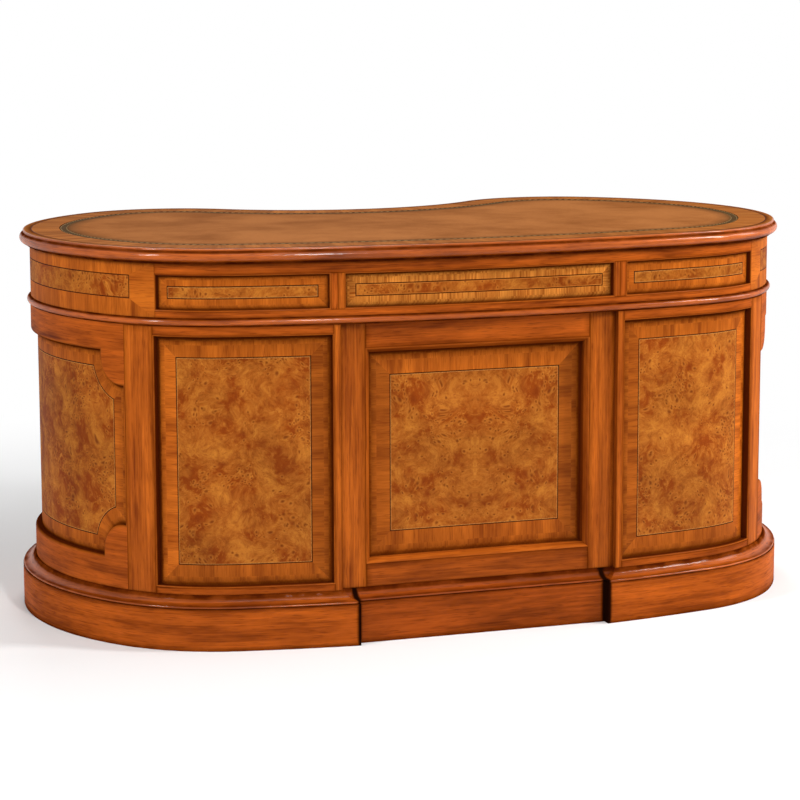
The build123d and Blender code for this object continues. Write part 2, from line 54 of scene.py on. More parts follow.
# Heights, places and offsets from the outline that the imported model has, in metres
DESK_TOP = 0.762
TOP_BOTTOM = 0.733
MOULDING_INNER = -0.004
LEATHER_EDGE = -0.061
LEATHER_TOP = 0.7616
LEATHER_THICK = 0.0016
FRIEZE_BOTTOM = 0.6308
FRIEZE_FACE = -0.001
FRIEZE_BACK = -0.023
FRIEZE_RECESS = -0.010
FRIEZE_LOW = 0.646
FRIEZE_HIGH = 0.7096
FRIEZE_CENTRE_HALF = 0.2735
FRIEZE_SIDE_START = 0.305
FRIEZE_SIDE_STOP = 0.635
WALL_BOTTOM = 0.005
WALL_TOP = 0.6148
WALL_BACK = -0.026
PEDESTAL_INNER = 0.283
PANEL_RECESS = -0.013
PANEL_START = 0.300
PANEL_STOP = 0.640
PANEL_LOW = 0.119
PANEL_HIGH = 0.595
DRAWER_OUTER = 0.629
DRAWER_GAP = 0.0015
DRAWER_THICK = 0.020
END_START = 0.711
END_STOP = 1.3596216
END_LOW = 0.163
END_HIGH = 0.561
MODESTY_FACE = -0.426
MODESTY_THICK = 0.030
MODESTY_SINK = 0.022
MODESTY_SLOPE = 0.009
MODESTY_HALF = 0.221
MODESTY_LOW = 0.157
MODESTY_HIGH = 0.556
PLINTH_STEP = 0.256


def linear(code):
    """Linear RGBA of an sRGB hex colour."""
    channels = [int(code[index:index + 2], 16) / 255 for index in (1, 3, 5)]
    curve = [c / 12.92 if c <= 0.04045 else ((c + 0.055) / 1.055) ** 2.4 for c in channels]
    return (*curve, 1.0)


def sin(degrees):
    """Sine of an angle in degrees."""
    return math.sin(math.radians(degrees))


def cos(degrees):
    """Cosine of an angle in degrees."""
    return math.cos(math.radians(degrees))


def walk_plan():
    """Start, stop, centre, radius and first heading of each arc of the right half."""
    place, heading, station = Vector((0, FRONT_Y)), 0, 0
    arcs = []
    for radius, turn in PLAN_ARCS:
        centre = place + radius * Vector((-sin(heading), cos(heading)))
        length = abs(radius) * math.radians(turn)
        arcs.append((station, station + length, centre, radius, heading))
        heading += math.copysign(turn, radius)
        place = centre - radius * Vector((-sin(heading), cos(heading)))
        station += length
    return arcs


ARCS = walk_plan()
HALF_LOOP = ARCS[-1][1]
# Stations between which the outline is searched for a place: beside the modesty board, round the back
# of an end, and along the sitter's side
FRONT_RANGE = (0.2, 0.4)
END_RANGE = (1.36, 1.90)
BACK_RANGE = (1.60, HALF_LOOP)
# Length along the outline of each flat facet of a curved face
STATION_STEP = 0.012


def on_plan(station, offset, height):
    """Place on the desk of a station along its outline, an offset out of it and a height."""
    station = (station + HALF_LOOP) % (2 * HALF_LOOP) - HALF_LOOP
    side = -1 if station < 0 else 1
    run = abs(station)
    for start, stop, centre, radius, heading in ARCS:
        if run <= stop + 1e-9:
            break
    angle = math.radians(heading) + (run - start) / radius
    reach = radius + offset
    return Vector((side * (centre.x + reach * math.sin(angle)), centre.y - reach * math.cos(angle), height))


def station_at(x, offset, low, high):
    """Station between two others where the outline at an offset crosses a place on X."""
    rising = on_plan(high, offset, 0).x > on_plan(low, offset, 0).x
    for _ in range(60):
        middle = (low + high) / 2
        if (on_plan(middle, offset, 0).x < x) == rising:
            low = middle
        else:
            high = middle
    return (low + high) / 2


# Edges that turn by more than this many degrees are drawn sharp
SHARP_ANGLE = 32


class Shape:
    """Closed solids of one piece. Most are drawn flat, as station, offset and height, then bent.

    Its faces carry a place in the grain, a share of darkening and a tone, lighter or darker than the
    timber's.
    The darkening is antique glaze and painted shade on the wood, and dark dye on the leather.
    """

    def __init__(self, *materials):
        self.materials = materials
        self.points, self.faces, self.kinds = [], [], []
        self.values = {"grain": [], "glaze": [], "tone": []}

    def solid(self):
        drawing = bmesh.new()
        drawing.loops.layers.float_vector.new("grain")
        drawing.loops.layers.float.new("glaze")
        drawing.loops.layers.float.new("tone")
        return drawing

    def take(self, drawing, bent=True):
        """Joins a drawing's faces, and cuts and bends one that is drawn flat onto the outline."""
        bmesh.ops.remove_doubles(drawing, verts=drawing.verts, dist=1e-6)
        if bent:
            reach = [vert.co.x for vert in drawing.verts]
            first = math.ceil(min(reach) / STATION_STEP + 0.01)
            last = math.floor(max(reach) / STATION_STEP - 0.01)
            for index in range(first, last + 1):
                parts = drawing.verts[:] + drawing.edges[:] + drawing.faces[:]
                bmesh.ops.bisect_plane(
                    drawing, geom=parts, dist=1e-7, plane_co=(index * STATION_STEP, 0, 0),
                    plane_no=(1, 0, 0))
            for vert in drawing.verts:
                vert.co = on_plan(*vert.co)
        bmesh.ops.recalc_face_normals(drawing, faces=drawing.faces)
        grain = drawing.loops.layers.float_vector["grain"]
        glaze = drawing.loops.layers.float["glaze"]
        tone = drawing.loops.layers.float["tone"]
        first = len(self.points)
        drawing.verts.index_update()
        self.points += [vert.co.copy() for vert in drawing.verts]
        for face in drawing.faces:
            self.faces.append([first + loop.vert.index for loop in face.loops])
            self.kinds.append(face.material_index)
            for loop in face.loops:
                self.values["grain"].extend(loop[grain])
                self.values["glaze"].append(loop[glaze])
                self.values["tone"].append(loop[tone])
        drawing.free()

    def finish(self, name, body, slot, hidden):
        """The object made of all the solids, riding on a body and standing for CAD nodes."""
        mesh = bpy.data.meshes.new(name)
        mesh.from_pydata(self.points, [], self.faces)
        for material in self.materials:
            mesh.materials.append(material)
        mesh.polygons.foreach_set("material_index", self.kinds)
        grain = mesh.attributes.new("grain", "FLOAT_VECTOR", "CORNER")
        grain.data.foreach_set("vector", self.values["grain"])
        for key in ("glaze", "tone"):
            mesh.attributes.new(key, "FLOAT", "CORNER").data.foreach_set("value", self.values[key])
        mesh.shade_smooth()
        mesh.set_sharp_from_angle(angle=math.radians(SHARP_ANGLE))
        piece = bpy.data.objects.new(name, mesh)
        bpy.context.scene.collection.objects.link(piece)
        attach(piece, body)
        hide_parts(*hidden)


def add_face(drawing, corners, kind, tone=0.0):
    """One face of a kind of material and a tone, from corners of point, place in the grain and share of
    darkening.
    """
    layers = drawing.loops.layers
    face = drawing.faces.new([drawing.verts.new(point) for point, _, _ in corners])
    face.material_index = kind
    for loop, (_, place, share) in zip(face.loops, corners):
        loop[layers.float_vector["grain"]] = place
        loop[layers.float["glaze"]] = share
        loop[layers.float["tone"]] = tone


# Runs that meet at less than this cosine are two boards, each cut this far from the last in the timber
CORNER_COSINE = 0.9
LEAF_STEP = 0.413


def ring(drawing, outer, inner, kind, crosswise=False, glaze=(0, 0), board=0.0, tones=(0.0,),
         shades=(1.0,)):
    """Strip between two closed loops, with grain along it or, as in a crossband, across it.

    Each straight run is a board of its own, with its own tone and its own share of the glaze and painted
    shade.
    """
    count = len(outer)
    run = 0.0
    turn = 0
    before = None
    for index in range(count):
        a, b = Vector(outer[index]), Vector(outer[(index + 1) % count])
        d, c = Vector(inner[index]), Vector(inner[(index + 1) % count])
        edge = b - a if (b - a).length > 1e-6 else c - d
        if edge.length < 1e-6:
            continue
        along = edge.normalized()
        if before is not None and along.dot(before) < CORNER_COSINE:
            board += LEAF_STEP
            turn += 1
        before = along
        across = (d - a) - along * (d - a).dot(along)
        if across.length < 1e-7:
            across = (c - a) - along * (c - a).dot(along)
        across.normalize()
        shade = shades[turn % len(shades)]
        corners = []
        for point, share in ((a, glaze[0]), (b, glaze[0]), (c, glaze[1]), (d, glaze[1])):
            place = (run + (point - a).dot(along), (point - a).dot(across))
            if crosswise:
                place = (place[1], place[0])
            corners.append((point, (*place, board), share * shade))
        if (c - d).length < 1e-6:
            corners.pop()
        if (b - a).length < 1e-6:
            corners.pop(0)
        add_face(drawing, corners, kind, tones[turn % len(tones)])
        run += (b - a).length


# Shares of antique glaze and painted shade on a board's edge, and from its rim inwards
EDGE_GLAZE_AND_SHADE = 0.6
RIM_GLAZE_AND_SHADE = (0.8, 0.34, 0.0)


def prism(drawing, front, back, kind, upright, board=0.0, rims=(), tone=0.0):
    """Board with a front and a back outline, its grain upright or level, and glaze and painted shade along
    its edges.
    """
    def corner(point, share=0.0):
        place = (point[2], point[0]) if upright else (point[0], point[2])
        return (point, (*place, board + point[1]), share)

    count = len(front)
    loops = [front, *rims]
    add_face(drawing, [corner(point) for point in loops[-1]], kind, tone)
    add_face(drawing, [corner(point) for point in reversed(back)], kind, tone)
    for index in range(count):
        after = (index + 1) % count
        side = (front[index], back[index], back[after], front[after])
        add_face(drawing, [corner(point, EDGE_GLAZE_AND_SHADE) for point in side], kind, tone)
        for outer, inner, near, far in zip(loops, loops[1:], RIM_GLAZE_AND_SHADE, RIM_GLAZE_AND_SHADE[1:]):
            edge = [corner(outer[index], near), corner(outer[after], near),
                    corner(inner[after], far), corner(inner[index], far)]
            add_face(drawing, edge, kind, tone)


def level_face(drawing, loop, kind):
    """Level face, its grain along X."""
    add_face(drawing, [(point, (point[0], point[1], 0), 0.0) for point in loop], kind)


def upright_face(drawing, loop, kind, cut=(0, 0, 0)):
    """Upright face, its grain level, from a place of its own in the timber."""
    corners = [(point, (point[0] + cut[0], point[2] + cut[1], cut[2]), 0.0) for point in loop]
    add_face(drawing, corners, kind)


def rectangle(start, stop, low, high, inset, offset):
    """Closed loop of a rectangle on the face, set in by an inset."""
    return [
        (start + inset, offset, low + inset),
        (stop - inset, offset, low + inset),
        (stop - inset, offset, high - inset),
        (start + inset, offset, high - inset),
    ]


# Width inside a board's edge over which its glaze and painted shade fade
RIM_WIDTH = 0.014


def rims_of(start, stop, low, high, offset):
    """Loops just inside a board's edge, between which its glaze and painted shade fade."""
    soft = min(RIM_WIDTH, 0.45 * (stop - start), 0.45 * (high - low))
    return [rectangle(start, stop, low, high, inset, offset) for inset in (0.2 * soft, soft)]


def notched(start, stop, low, high, inset, offset):
    """Closed loop of the end panel, whose corners are cut by a drop, a quarter round and a lip."""
    lip, drop, radius, steps = 0.007, 0.015, 0.050, 10
    reach = radius + inset
    top_angle = math.asin(max(0.0, inset - drop) / reach)
    side_angle = math.acos(max(0.0, inset - lip) / reach)
    corner = [(inset, drop + radius + inset)] if inset <= lip else []
    curve = []
    for index in range(steps + 1):
        angle = side_angle + (top_angle - side_angle) * index / steps
        curve.append((lip + reach * math.cos(angle), drop + reach * math.sin(angle)))
    corner = [corner[0] if corner else curve[0]] + curve
    corner.append((lip + reach, inset) if inset <= drop else curve[-1])
    loop = []
    for x, z in corner:
        loop.append((start + x, offset, low + z))
    for x, z in reversed(corner):
        loop.append((stop - x, offset, low + z))
    for x, z in corner:
        loop.append((stop - x, offset, high - z))
    for x, z in reversed(corner):
        loop.append((start + x, offset, high - z))
    return loop


def shift(loop, offset):
    """The same loop at another offset."""
    return [(point[0], offset, point[2]) for point in loop]


def sticking(drawing, outline, edge, face, seat, kind, slope=False, shades=(1.0,)):
    """Rounded or sloped inner edge of a frame, mitred round its opening."""
    profile = [(-edge, face)]
    if slope:
        profile += [(-0.8 * edge, face), (-0.05 * edge, face - 0.85 * edge), (0, face - edge)]
    else:
        steps = 4
        for index in range(1, steps + 1):
            angle = 90 - 90 * index / steps
            profile.append((-edge + edge * cos(angle), face - edge + edge * sin(angle)))
    profile += [(0, seat), (-edge, seat)]
    # Glaze and painted shade: light on the frame's face, full where the edge goes down to the sunk panel, as
    # shade deepens into the recess
    shares = [0.2] + [0.35 + 0.2 * index for index in range(len(profile) - 3)] + [1.0, 1.0]
    for index, (inset, offset) in enumerate(profile):
        after = (index + 1) % len(profile)
        ring(drawing, outline(inset, offset), outline(*profile[after]), kind,
             glaze=(shares[index], shares[after]), board=1.7, shades=shades)


# Parts of a crossband's width from its outer edge inwards, and the share of glaze and painted shade there,
# darkest where the sunk panel meets the frame
BAND_GLAZE_AND_SHADE = ((0.0, 1.0), (0.10, 0.9), (0.20, 0.45), (0.42, 0.12), (1.0, 0.0))
# How much of that each run of the crossband has, from the first one of its loop on: painted shade, deeper
# where the frame's shadow falls
BAND_PAINTED_SHADES = (0.8, 1.0, 1.0, 0.85)
# Width of the dark line and the pale line beside it, which is partly a painted highlight, in widths of the
# dark one
BOTH_LINES = 1.45


def veneered_panel(drawing, outline, band, line, face, back, kinds, fields, board=0.0, tones=(0.0,),
                   matched=False):
    """Sunk panel: crossband, dark stringing with a pale line beside it that is partly a painted highlight,
    burr field, and its edges and back.

    A matched field is two leaves of burr, opened like a book, with their joint at X = 0.
    """
    band_kind, dark_kind, pale_line_and_highlight_kind, field_kind = kinds
    outer = outline(0, face)
    for (near, near_share), (far, far_share) in zip(BAND_GLAZE_AND_SHADE, BAND_GLAZE_AND_SHADE[1:]):
        ring(drawing, outline(near * band, face), outline(far * band, face), band_kind, True,
             (near_share, far_share), board, tones, BAND_PAINTED_SHADES)
    band_edge = outline(band, face)
    dark_edge = outline(band + line, face)
    pale_line_and_highlight_edge = outline(band + BOTH_LINES * line, face)
    ring(drawing, band_edge, dark_edge, dark_kind, board=board)
    ring(drawing, dark_edge, pale_line_and_highlight_edge, pale_line_and_highlight_kind, board=board)
    shift_x, shift_z = fields

    def corner(point):
        across = abs(point[0]) if matched else point[0]
        return (point, (across + shift_x, point[2] + shift_z, board), 0.0)

    leaves = [pale_line_and_highlight_edge]
    if matched:
        (start, _, low), _, (stop, _, high), _ = pale_line_and_highlight_edge
        leaves = [rectangle(*ends, low, high, 0, face) for ends in ((start, 0.0), (0.0, stop))]
    for leaf in leaves:
        add_face(drawing, [corner(point) for point in leaf], field_kind)
    # The panel's edge down into the recess, and its back: dark, painted shade with glaze
    ring(drawing, outer, outline(0, back), band_kind, board=board, glaze=(1.0, 1.0))
    add_face(drawing, [(point, (point[0], point[2], 0), 0.9) for point in outline(0, back)], band_kind)


# Materials


def add_node(tree, kind, inputs=(), **settings):
    """Adds a shader node with its properties, and fills or links its inputs, by name or in their order.

    A node that is given as an input is linked by the first of its outputs that is in use.
    """
    made = tree.nodes.new("ShaderNode" + kind)
    for name, value in settings.items():
        setattr(made, name, value)
    for key, value in inputs.items() if isinstance(inputs, dict) else enumerate(inputs):
        if isinstance(value, bpy.types.Node):
            value = next(socket for socket in value.outputs if socket.enabled)
        if isinstance(value, bpy.types.NodeSocket):
            tree.links.new(value, made.inputs[key])
        else:
            made.inputs[key].default_value = value
    return made


def start_material(name):
    """Empty material, and what adds a node to it."""
    material = bpy.data.materials.new(name)
    material.use_nodes = True
    material.node_tree.nodes.clear()
    return material, partial(add_node, material.node_tree)


def per_metre(millimetres):
    """Scale of a pattern whose parts are so many millimetres wide."""
    return 1000 / millimetres


def pattern_place(add, source):
    """Where a pattern is read: the piece's own grain, or the desk's frame for a CAD node."""
    if source == "grain":
        return add("Attribute", attribute_name="grain").outputs["Vector"]
    return add("TexCoord").outputs["Object"]


def darkened(add, colour, glaze, depth=0.014, extra=None):
    """Colour darkened in corners, recesses and under edges, with its share: painted shade and glaze on wood,
    tarnish on brass.
    """
    nearness = add("AmbientOcclusion", {"Distance": depth}, samples=8)
    # Darker where nearby surfaces close it in: painted shade with antique glaze on the wood, tarnish on the
    # brass
    occluded = add("MapRange", (nearness.outputs["AO"], 0.86, 0.42, 0.0, 0.92))
    drawn = add("Attribute", attribute_name="glaze").outputs["Fac"]
    share = add("Math", (occluded, drawn), operation="MAXIMUM")
    if extra is not None:
        share = add("Math", (share, extra), operation="MAXIMUM")
    return add("Mix", {0: share, 6: colour, 7: glaze}, data_type="RGBA"), share


def by_height(add, marks):
    """Share at each height of a moulding that runs level round the desk, from pairs of both."""
    rise = add("SeparateXYZ", [add("TexCoord").outputs["Object"]]).outputs["Z"]
    low, high = marks[0][0], marks[-1][0]
    ramp = add("ValToRGB", [add("MapRange", (rise, low, high))])
    elements = ramp.color_ramp.elements
    while len(elements) < len(marks):
        elements.new(0.5)
    for element, (height, share) in zip(elements, marks):
        element.position = (height - low) / (high - low)
        element.color = (share, share, share, 1)
    return ramp


def lacquer(gloss, film):
    """Shader inputs of clear lacquer rubbed down to a share of its film, which alone shines."""
    return {"Roughness": 0.6, "Specular IOR Level": 0.0, "Coat Weight": film, "Coat Roughness": gloss}


def timber(name, light, dark, glaze, along="x", source="grain", streak=1.0, flame=0.0, block=None,
           gloss=0.28, film=0.12, marks=(), polish=(), corner=None):
    """Sliced timber: broad figure, cathedral lines, fine streaks, short pores and, if cut so, blocks."""
    material, add = start_material(name)
    place = pattern_place(add, source)

    def stretched(length, width):
        scale = [per_metre(length if axis in along else width) for axis in "xyz"]
        return add("VectorMath", (place, scale), operation="MULTIPLY")

    # Length along the grain and width across it, in millimetres. The pores are 1.6 mm wide, coarser
    # than real ones, so that they show at all
    broad = add("TexNoise", {
        "Vector": stretched(333.33, 33.333), "Scale": 1.0, "Detail": 3.0, "Roughness": 0.6,
        "Distortion": 0.6})
    streaks = add("TexNoise", {
        "Vector": stretched(181.82, 4.0), "Scale": 1.0, "Detail": 2.0, "Roughness": 0.6})
    runs = add("TexNoise", {
        "Vector": stretched(125.0, 27.778), "Scale": 1.0, "Detail": 3.0, "Roughness": 0.65,
        "Distortion": 0.4})
    pores = add("TexNoise", {"Vector": stretched(31.25, 1.6129), "Scale": 1.0, "Detail": 1.0})
    rings = add("TexNoise", {
        "Vector": stretched(666.67, 90.909), "Scale": 1.0, "Detail": 1.0, "Roughness": 0.4})
    cathedral = add("Math", [add("Math", (rings, 95.0), operation="MULTIPLY")], operation="SINE")
    share = add("MapRange", (broad, 0.34, 0.66, 0.06, 0.62))
    for change in (
            add("MapRange", (streaks, 0.34, 0.66, -0.20 * streak, 0.24 * streak)),
            add("MapRange", (runs, 0.36, 0.64, -0.16, 0.16))):
        share = add("Math", (share, change), operation="ADD")
    lines = add("Math", (cathedral, 0.13 * flame), operation="MULTIPLY")
    share = add("Math", (share, lines), operation="ADD", use_clamp=True)
    colour = add("Mix", {0: share, 6: light, 7: dark}, data_type="RGBA")
    tone = add("Attribute", attribute_name="tone").outputs["Fac"]
    if block:
        # Crossbands are laid in short lengths cut from different leaves, so their tone steps
        length, uneven = block
        parts = add("SeparateXYZ", [place])
        count = add("Math", (parts.outputs["Y"], 1 / length), operation="MULTIPLY")
        leaf = add("CombineXYZ", (add("Math", [count], operation="FLOOR"), parts.outputs["Z"]))
        chance = add("TexWhiteNoise", {"Vector": leaf})
        step = add("MapRange", (chance, 0.0, 1.0, -uneven, uneven))
        tone = add("Math", (tone, step), operation="ADD")
    brightness = add("Math", (tone, 1.0), operation="ADD")
    colour = add("HueSaturation", {"Value": brightness, "Color": colour})
    open_pores = add("MapRange", (pores, 0.56, 0.70, 0.0, 0.55))
    colour = add("Mix", {0: open_pores, 6: colour, 7: dark}, data_type="RGBA")
    hollow_glaze_and_shade = None
    surface = {}
    if marks:
        # Antique glaze and painted shade lie in each hollow of the moulding and under its overhangs, in
        # patches 45 mm across that are thicker or thinner
        patches = add("TexNoise", {
            "Vector": place, "Scale": per_metre(45.455), "Detail": 3.0, "Roughness": 0.6})
        thick = add("MapRange", (patches, 0.35, 0.62, 0.7, 1.1))
        hollow_glaze_and_shade = add("Math", (by_height(add, marks), thick), operation="MULTIPLY", use_clamp=True)
        # Rubbed by hand, so its surface waves by some tenths of a millimetre, which breaks up its gleams
        waves = add("TexNoise", {"Vector": place, "Scale": per_metre(13.333), "Detail": 1.0})
        surface["Coat Normal"] = add("Bump", {"Height": waves, "Strength": 1.0, "Distance": 0.0004})
    if corner:
        # Glaze and painted shade, thick enough to be nearly black, in the upright corners where the plinth
        # steps back
        parts = add("SeparateXYZ", [place])
        across = add("Math", [parts.outputs["X"]], operation="ABSOLUTE")
        away = add("Math", [add("Math", (across, corner), operation="SUBTRACT")], operation="ABSOLUTE")
        near = add("MapRange", (away, 0.011, 0.003), interpolation_type="SMOOTHSTEP")
        front = add("Math", (parts.outputs["Y"], 0.0), operation="LESS_THAN")
        step_glaze_and_shade = add("Math", (near, front), operation="MULTIPLY")
        hollow_glaze_and_shade = add("Math", (hollow_glaze_and_shade, step_glaze_and_shade), operation="MAXIMUM")
        glaze = add("Mix", {0: step_glaze_and_shade, 6: glaze, 7: linear("#1A0803")}, data_type="RGBA")
    if polish:
        film = add("Math", (by_height(add, polish), film), operation="MULTIPLY")
    # Antique glaze and painted shade in corners, recesses and under edges
    colour, left = darkened(add, colour, glaze, extra=hollow_glaze_and_shade)
    relief = add("Bump", {"Height": streaks, "Strength": 0.15, "Distance": 0.0006})
    surface.update({"Base Color": colour, "Coat Weight": add("MapRange", (left, 0.0, 0.7, film, 0.0))})
    shader = add("BsdfPrincipled", {**lacquer(gloss, film), **surface, "Normal": relief})
    add("OutputMaterial", {"Surface": shader})
    return material


def burr(name, light, middle, dark, eye, glaze, film=0.12):
    """Burr walnut veneer: cloudy gold, curls round knots, and eyes in loose clusters."""
    material, add = start_material(name)
    place = pattern_place(add, "grain")

    def pushed(start, width, reach):
        """Place moved about by a noise, which curls the figure."""
        swirl = add("TexNoise", {
            "Vector": start, "Scale": per_metre(width), "Detail": 2.0, "Roughness": 0.5})
        centred = add("VectorMath", (swirl.outputs["Color"], (0.5, 0.5, 0.5)), operation="SUBTRACT")
        moved = add("VectorMath", {0: centred, "Scale": reach}, operation="SCALE")
        return add("VectorMath", (start, moved), operation="ADD")

    bent = pushed(place, 83.333, 0.060)
    curled = pushed(bent, 22.222, 0.022)
    # Clouds 56 mm across, mottling 18 mm across and fibres 4 mm wide
    clouds = add("TexNoise", {"Vector": bent, "Scale": per_metre(55.556), "Detail": 5.0, "Roughness": 0.66})
    mottle = add("TexNoise", {
        "Vector": curled, "Scale": per_metre(18.182), "Detail": 4.0, "Roughness": 0.72})
    fibres = add("TexNoise", {
        "Vector": curled, "Scale": per_metre(4.3478), "Detail": 2.0, "Roughness": 0.7})
    # Knots in clusters 77 mm apart, redder and livelier than the rest
    cluster = add("TexNoise", {"Vector": bent, "Scale": per_metre(76.923), "Detail": 2.0, "Roughness": 0.5})
    inside = add("MapRange", (cluster, 0.52, 0.62), interpolation_type="SMOOTHSTEP")
    lively = add("MapRange", (inside, 0.0, 1.0, 0.7, 1.0))
    layers = [
        (add("MapRange", (clouds, 0.35, 0.61)), middle),
        (add("Math", (inside, 0.35), operation="MULTIPLY"), middle),
    ]
    for pattern, colour in (
            (add("MapRange", (mottle, 0.49, 0.70, 0.0, 0.75)), dark),
            (add("MapRange", (mottle, 0.47, 0.33, 0.0, 0.9)), light),
            (add("MapRange", (fibres, 0.48, 0.70, 0.0, 0.55)), dark)):
        layers.append((add("Math", (pattern, lively), operation="MULTIPLY"), colour))
    # Eyes 4 to 9 mm wide, many in a cluster and few outside, each with a pale ring round it
    for spacing, wide, few, many in ((19.231, 0.26, 0.97, 0.50), (10.526, 0.30, 0.93, 0.40)):
        spots = add("TexVoronoi", {"Vector": bent, "Scale": per_metre(spacing)}, voronoi_dimensions="2D")
        chance = add("SeparateColor", [spots.outputs["Color"]])
        limit = add("MapRange", (inside, 0.0, 1.0, few, many))
        picked = add("Math", (chance, limit), operation="GREATER_THAN")
        for outer, inner, most, colour in ((2.0 * wide, wide, 0.4, light), (wide, 0.3 * wide, 0.75, eye)):
            spot = add("MapRange", (spots, outer, inner, 0.0, most))
            layers.append((add("Math", (spot, picked), operation="MULTIPLY"), colour))
    tone = light
    for share, colour in layers:
        tone = add("Mix", {0: share, 6: tone, 7: colour}, data_type="RGBA")
    # The leaf is lighter and darker over 140 mm or so
    broad = add("TexNoise", {"Vector": place, "Scale": per_metre(142.857), "Detail": 1.0})
    level = add("MapRange", (broad, 0.35, 0.65, 1.01, 0.80))
    drawn = add("Attribute", attribute_name="tone").outputs["Fac"]
    brightness = add("Math", (drawn, level), operation="ADD")
    tone = add("HueSaturation", {"Value": brightness, "Color": tone})
    # Antique glaze and painted shade in corners, recesses and under edges
    colour, left = darkened(add, tone, glaze)
    relief = add("Bump", {"Height": fibres, "Strength": 0.08, "Distance": 0.0005})
    shader = add("BsdfPrincipled", {
        **lacquer(0.28, film), "Base Color": colour, "Normal": relief,
        "Coat Weight": add("MapRange", (left, 0.0, 0.7, film, 0.0))})
    add("OutputMaterial", {"Surface": shader})
    return material


def stringing(name, colour):
    """Line let into the veneer, one even tone with a faint grain: dyed sycamore, and the pale line that is
    partly a painted highlight.
    """
    material, add = start_material(name)
    place = pattern_place(add, "grain")
    grain = add("TexNoise", {"Vector": place, "Scale": per_metre(3.3333), "Detail": 1.0})
    level = add("MapRange", (grain, 0.3, 0.7, 0.7, 1.3))
    tone = add("HueSaturation", {"Value": level, "Color": colour})
    shader = add("BsdfPrincipled", {**lacquer(0.35, 0.1), "Base Color": tone})
    add("OutputMaterial", {"Surface": shader})
    return material


def hide(name, light, dark, edge, pitch):
    """Waxed cowhide: pebbled grain at a pitch, soft clouds, and dye that darkens towards its edge."""
    material, add = start_material(name)
    place = pattern_place(add, "frame")
    clouds = add("TexNoise", {"Vector": place, "Scale": per_metre(166.667), "Detail": 4.0, "Roughness": 0.6})
    specks = add("TexNoise", {"Vector": place, "Scale": per_metre(6.25), "Detail": 3.0, "Roughness": 0.7})
    pebbles = add("TexVoronoi", {"Vector": place, "Scale": 1 / pitch}, feature="DISTANCE_TO_EDGE")
    crease = add("MapRange", (pebbles, 0.0, 0.18, 0.72, 1.0))
    drawn = add("Attribute", attribute_name="glaze").outputs["Fac"]
    taken = add("MapRange", (specks, 0.3, 0.7, 1.1, 0.75))
    dyed = add("Math", (drawn, taken), operation="MULTIPLY", use_clamp=True)
    tone = light
    for share, colour in (
            (add("MapRange", (clouds, 0.36, 0.66)), dark),
            (add("MapRange", (specks, 0.52, 0.75, 0.0, 0.5)), dark),
            (dyed, edge)):
        tone = add("Mix", {0: share, 6: tone, 7: colour}, data_type="RGBA")
    tone = add("HueSaturation", {"Value": crease, "Color": tone})
    relief = add("Bump", {"Height": crease, "Strength": 0.25, "Distance": 0.0006})
    shader = add("BsdfPrincipled", {**lacquer(0.6, 0.05), "Base Color": tone, "Normal": relief})
    add("OutputMaterial", {"Surface": shader})
    return material


def tooling(name, ground, line, pitch):
    """Blind-tooled and dyed band in the hide: small lozenges pressed in a row."""
    material, add = start_material(name)
    place = pattern_place(add, "grain")
    run = add("SeparateXYZ", [place]).outputs["X"]
    turn = add("Math", (run, math.pi / pitch), operation="MULTIPLY")
    height = add("Math", [add("Math", [turn], operation="SINE")], operation="ABSOLUTE")
    worn = add("TexNoise", {"Vector": place, "Scale": per_metre(11.111), "Detail": 2.0})
    share = add("Math", (add("MapRange", (height, 0.45, 0.8)), worn), operation="MULTIPLY")
    tone = add("Mix", {0: share, 6: ground, 7: line}, data_type="RGBA")
    relief = add("Bump", {"Height": height, "Strength": 0.4, "Distance": 0.0008})
    shader = add("BsdfPrincipled", {**lacquer(0.5, 0.05), "Base Color": tone, "Normal": relief})
    add("OutputMaterial", {"Surface": shader})
    return material


def cast_brass(name, colour, tarnish):
    """Cast and lacquered brass: warm and softly reflective, browner where it isn't handled."""
    material, add = start_material(name)
    place = pattern_place(add, "frame")
    clouds = add("TexNoise", {"Vector": place, "Scale": per_metre(11.111), "Detail": 3.0})
    share = add("MapRange", (clouds, 0.40, 0.75))
    tone = add("Mix", {0: share, 6: colour, 7: tarnish}, data_type="RGBA")
    tone, _ = darkened(add, tone, tarnish, depth=0.004)
    relief = add("Bump", {"Height": clouds, "Strength": 0.1, "Distance": 0.0004})
    shader = add("BsdfPrincipled", {
        "Base Color": tone, "Metallic": 1.0, "Roughness": 0.28, "Normal": relief})
    add("OutputMaterial", {"Surface": shader})
    return material


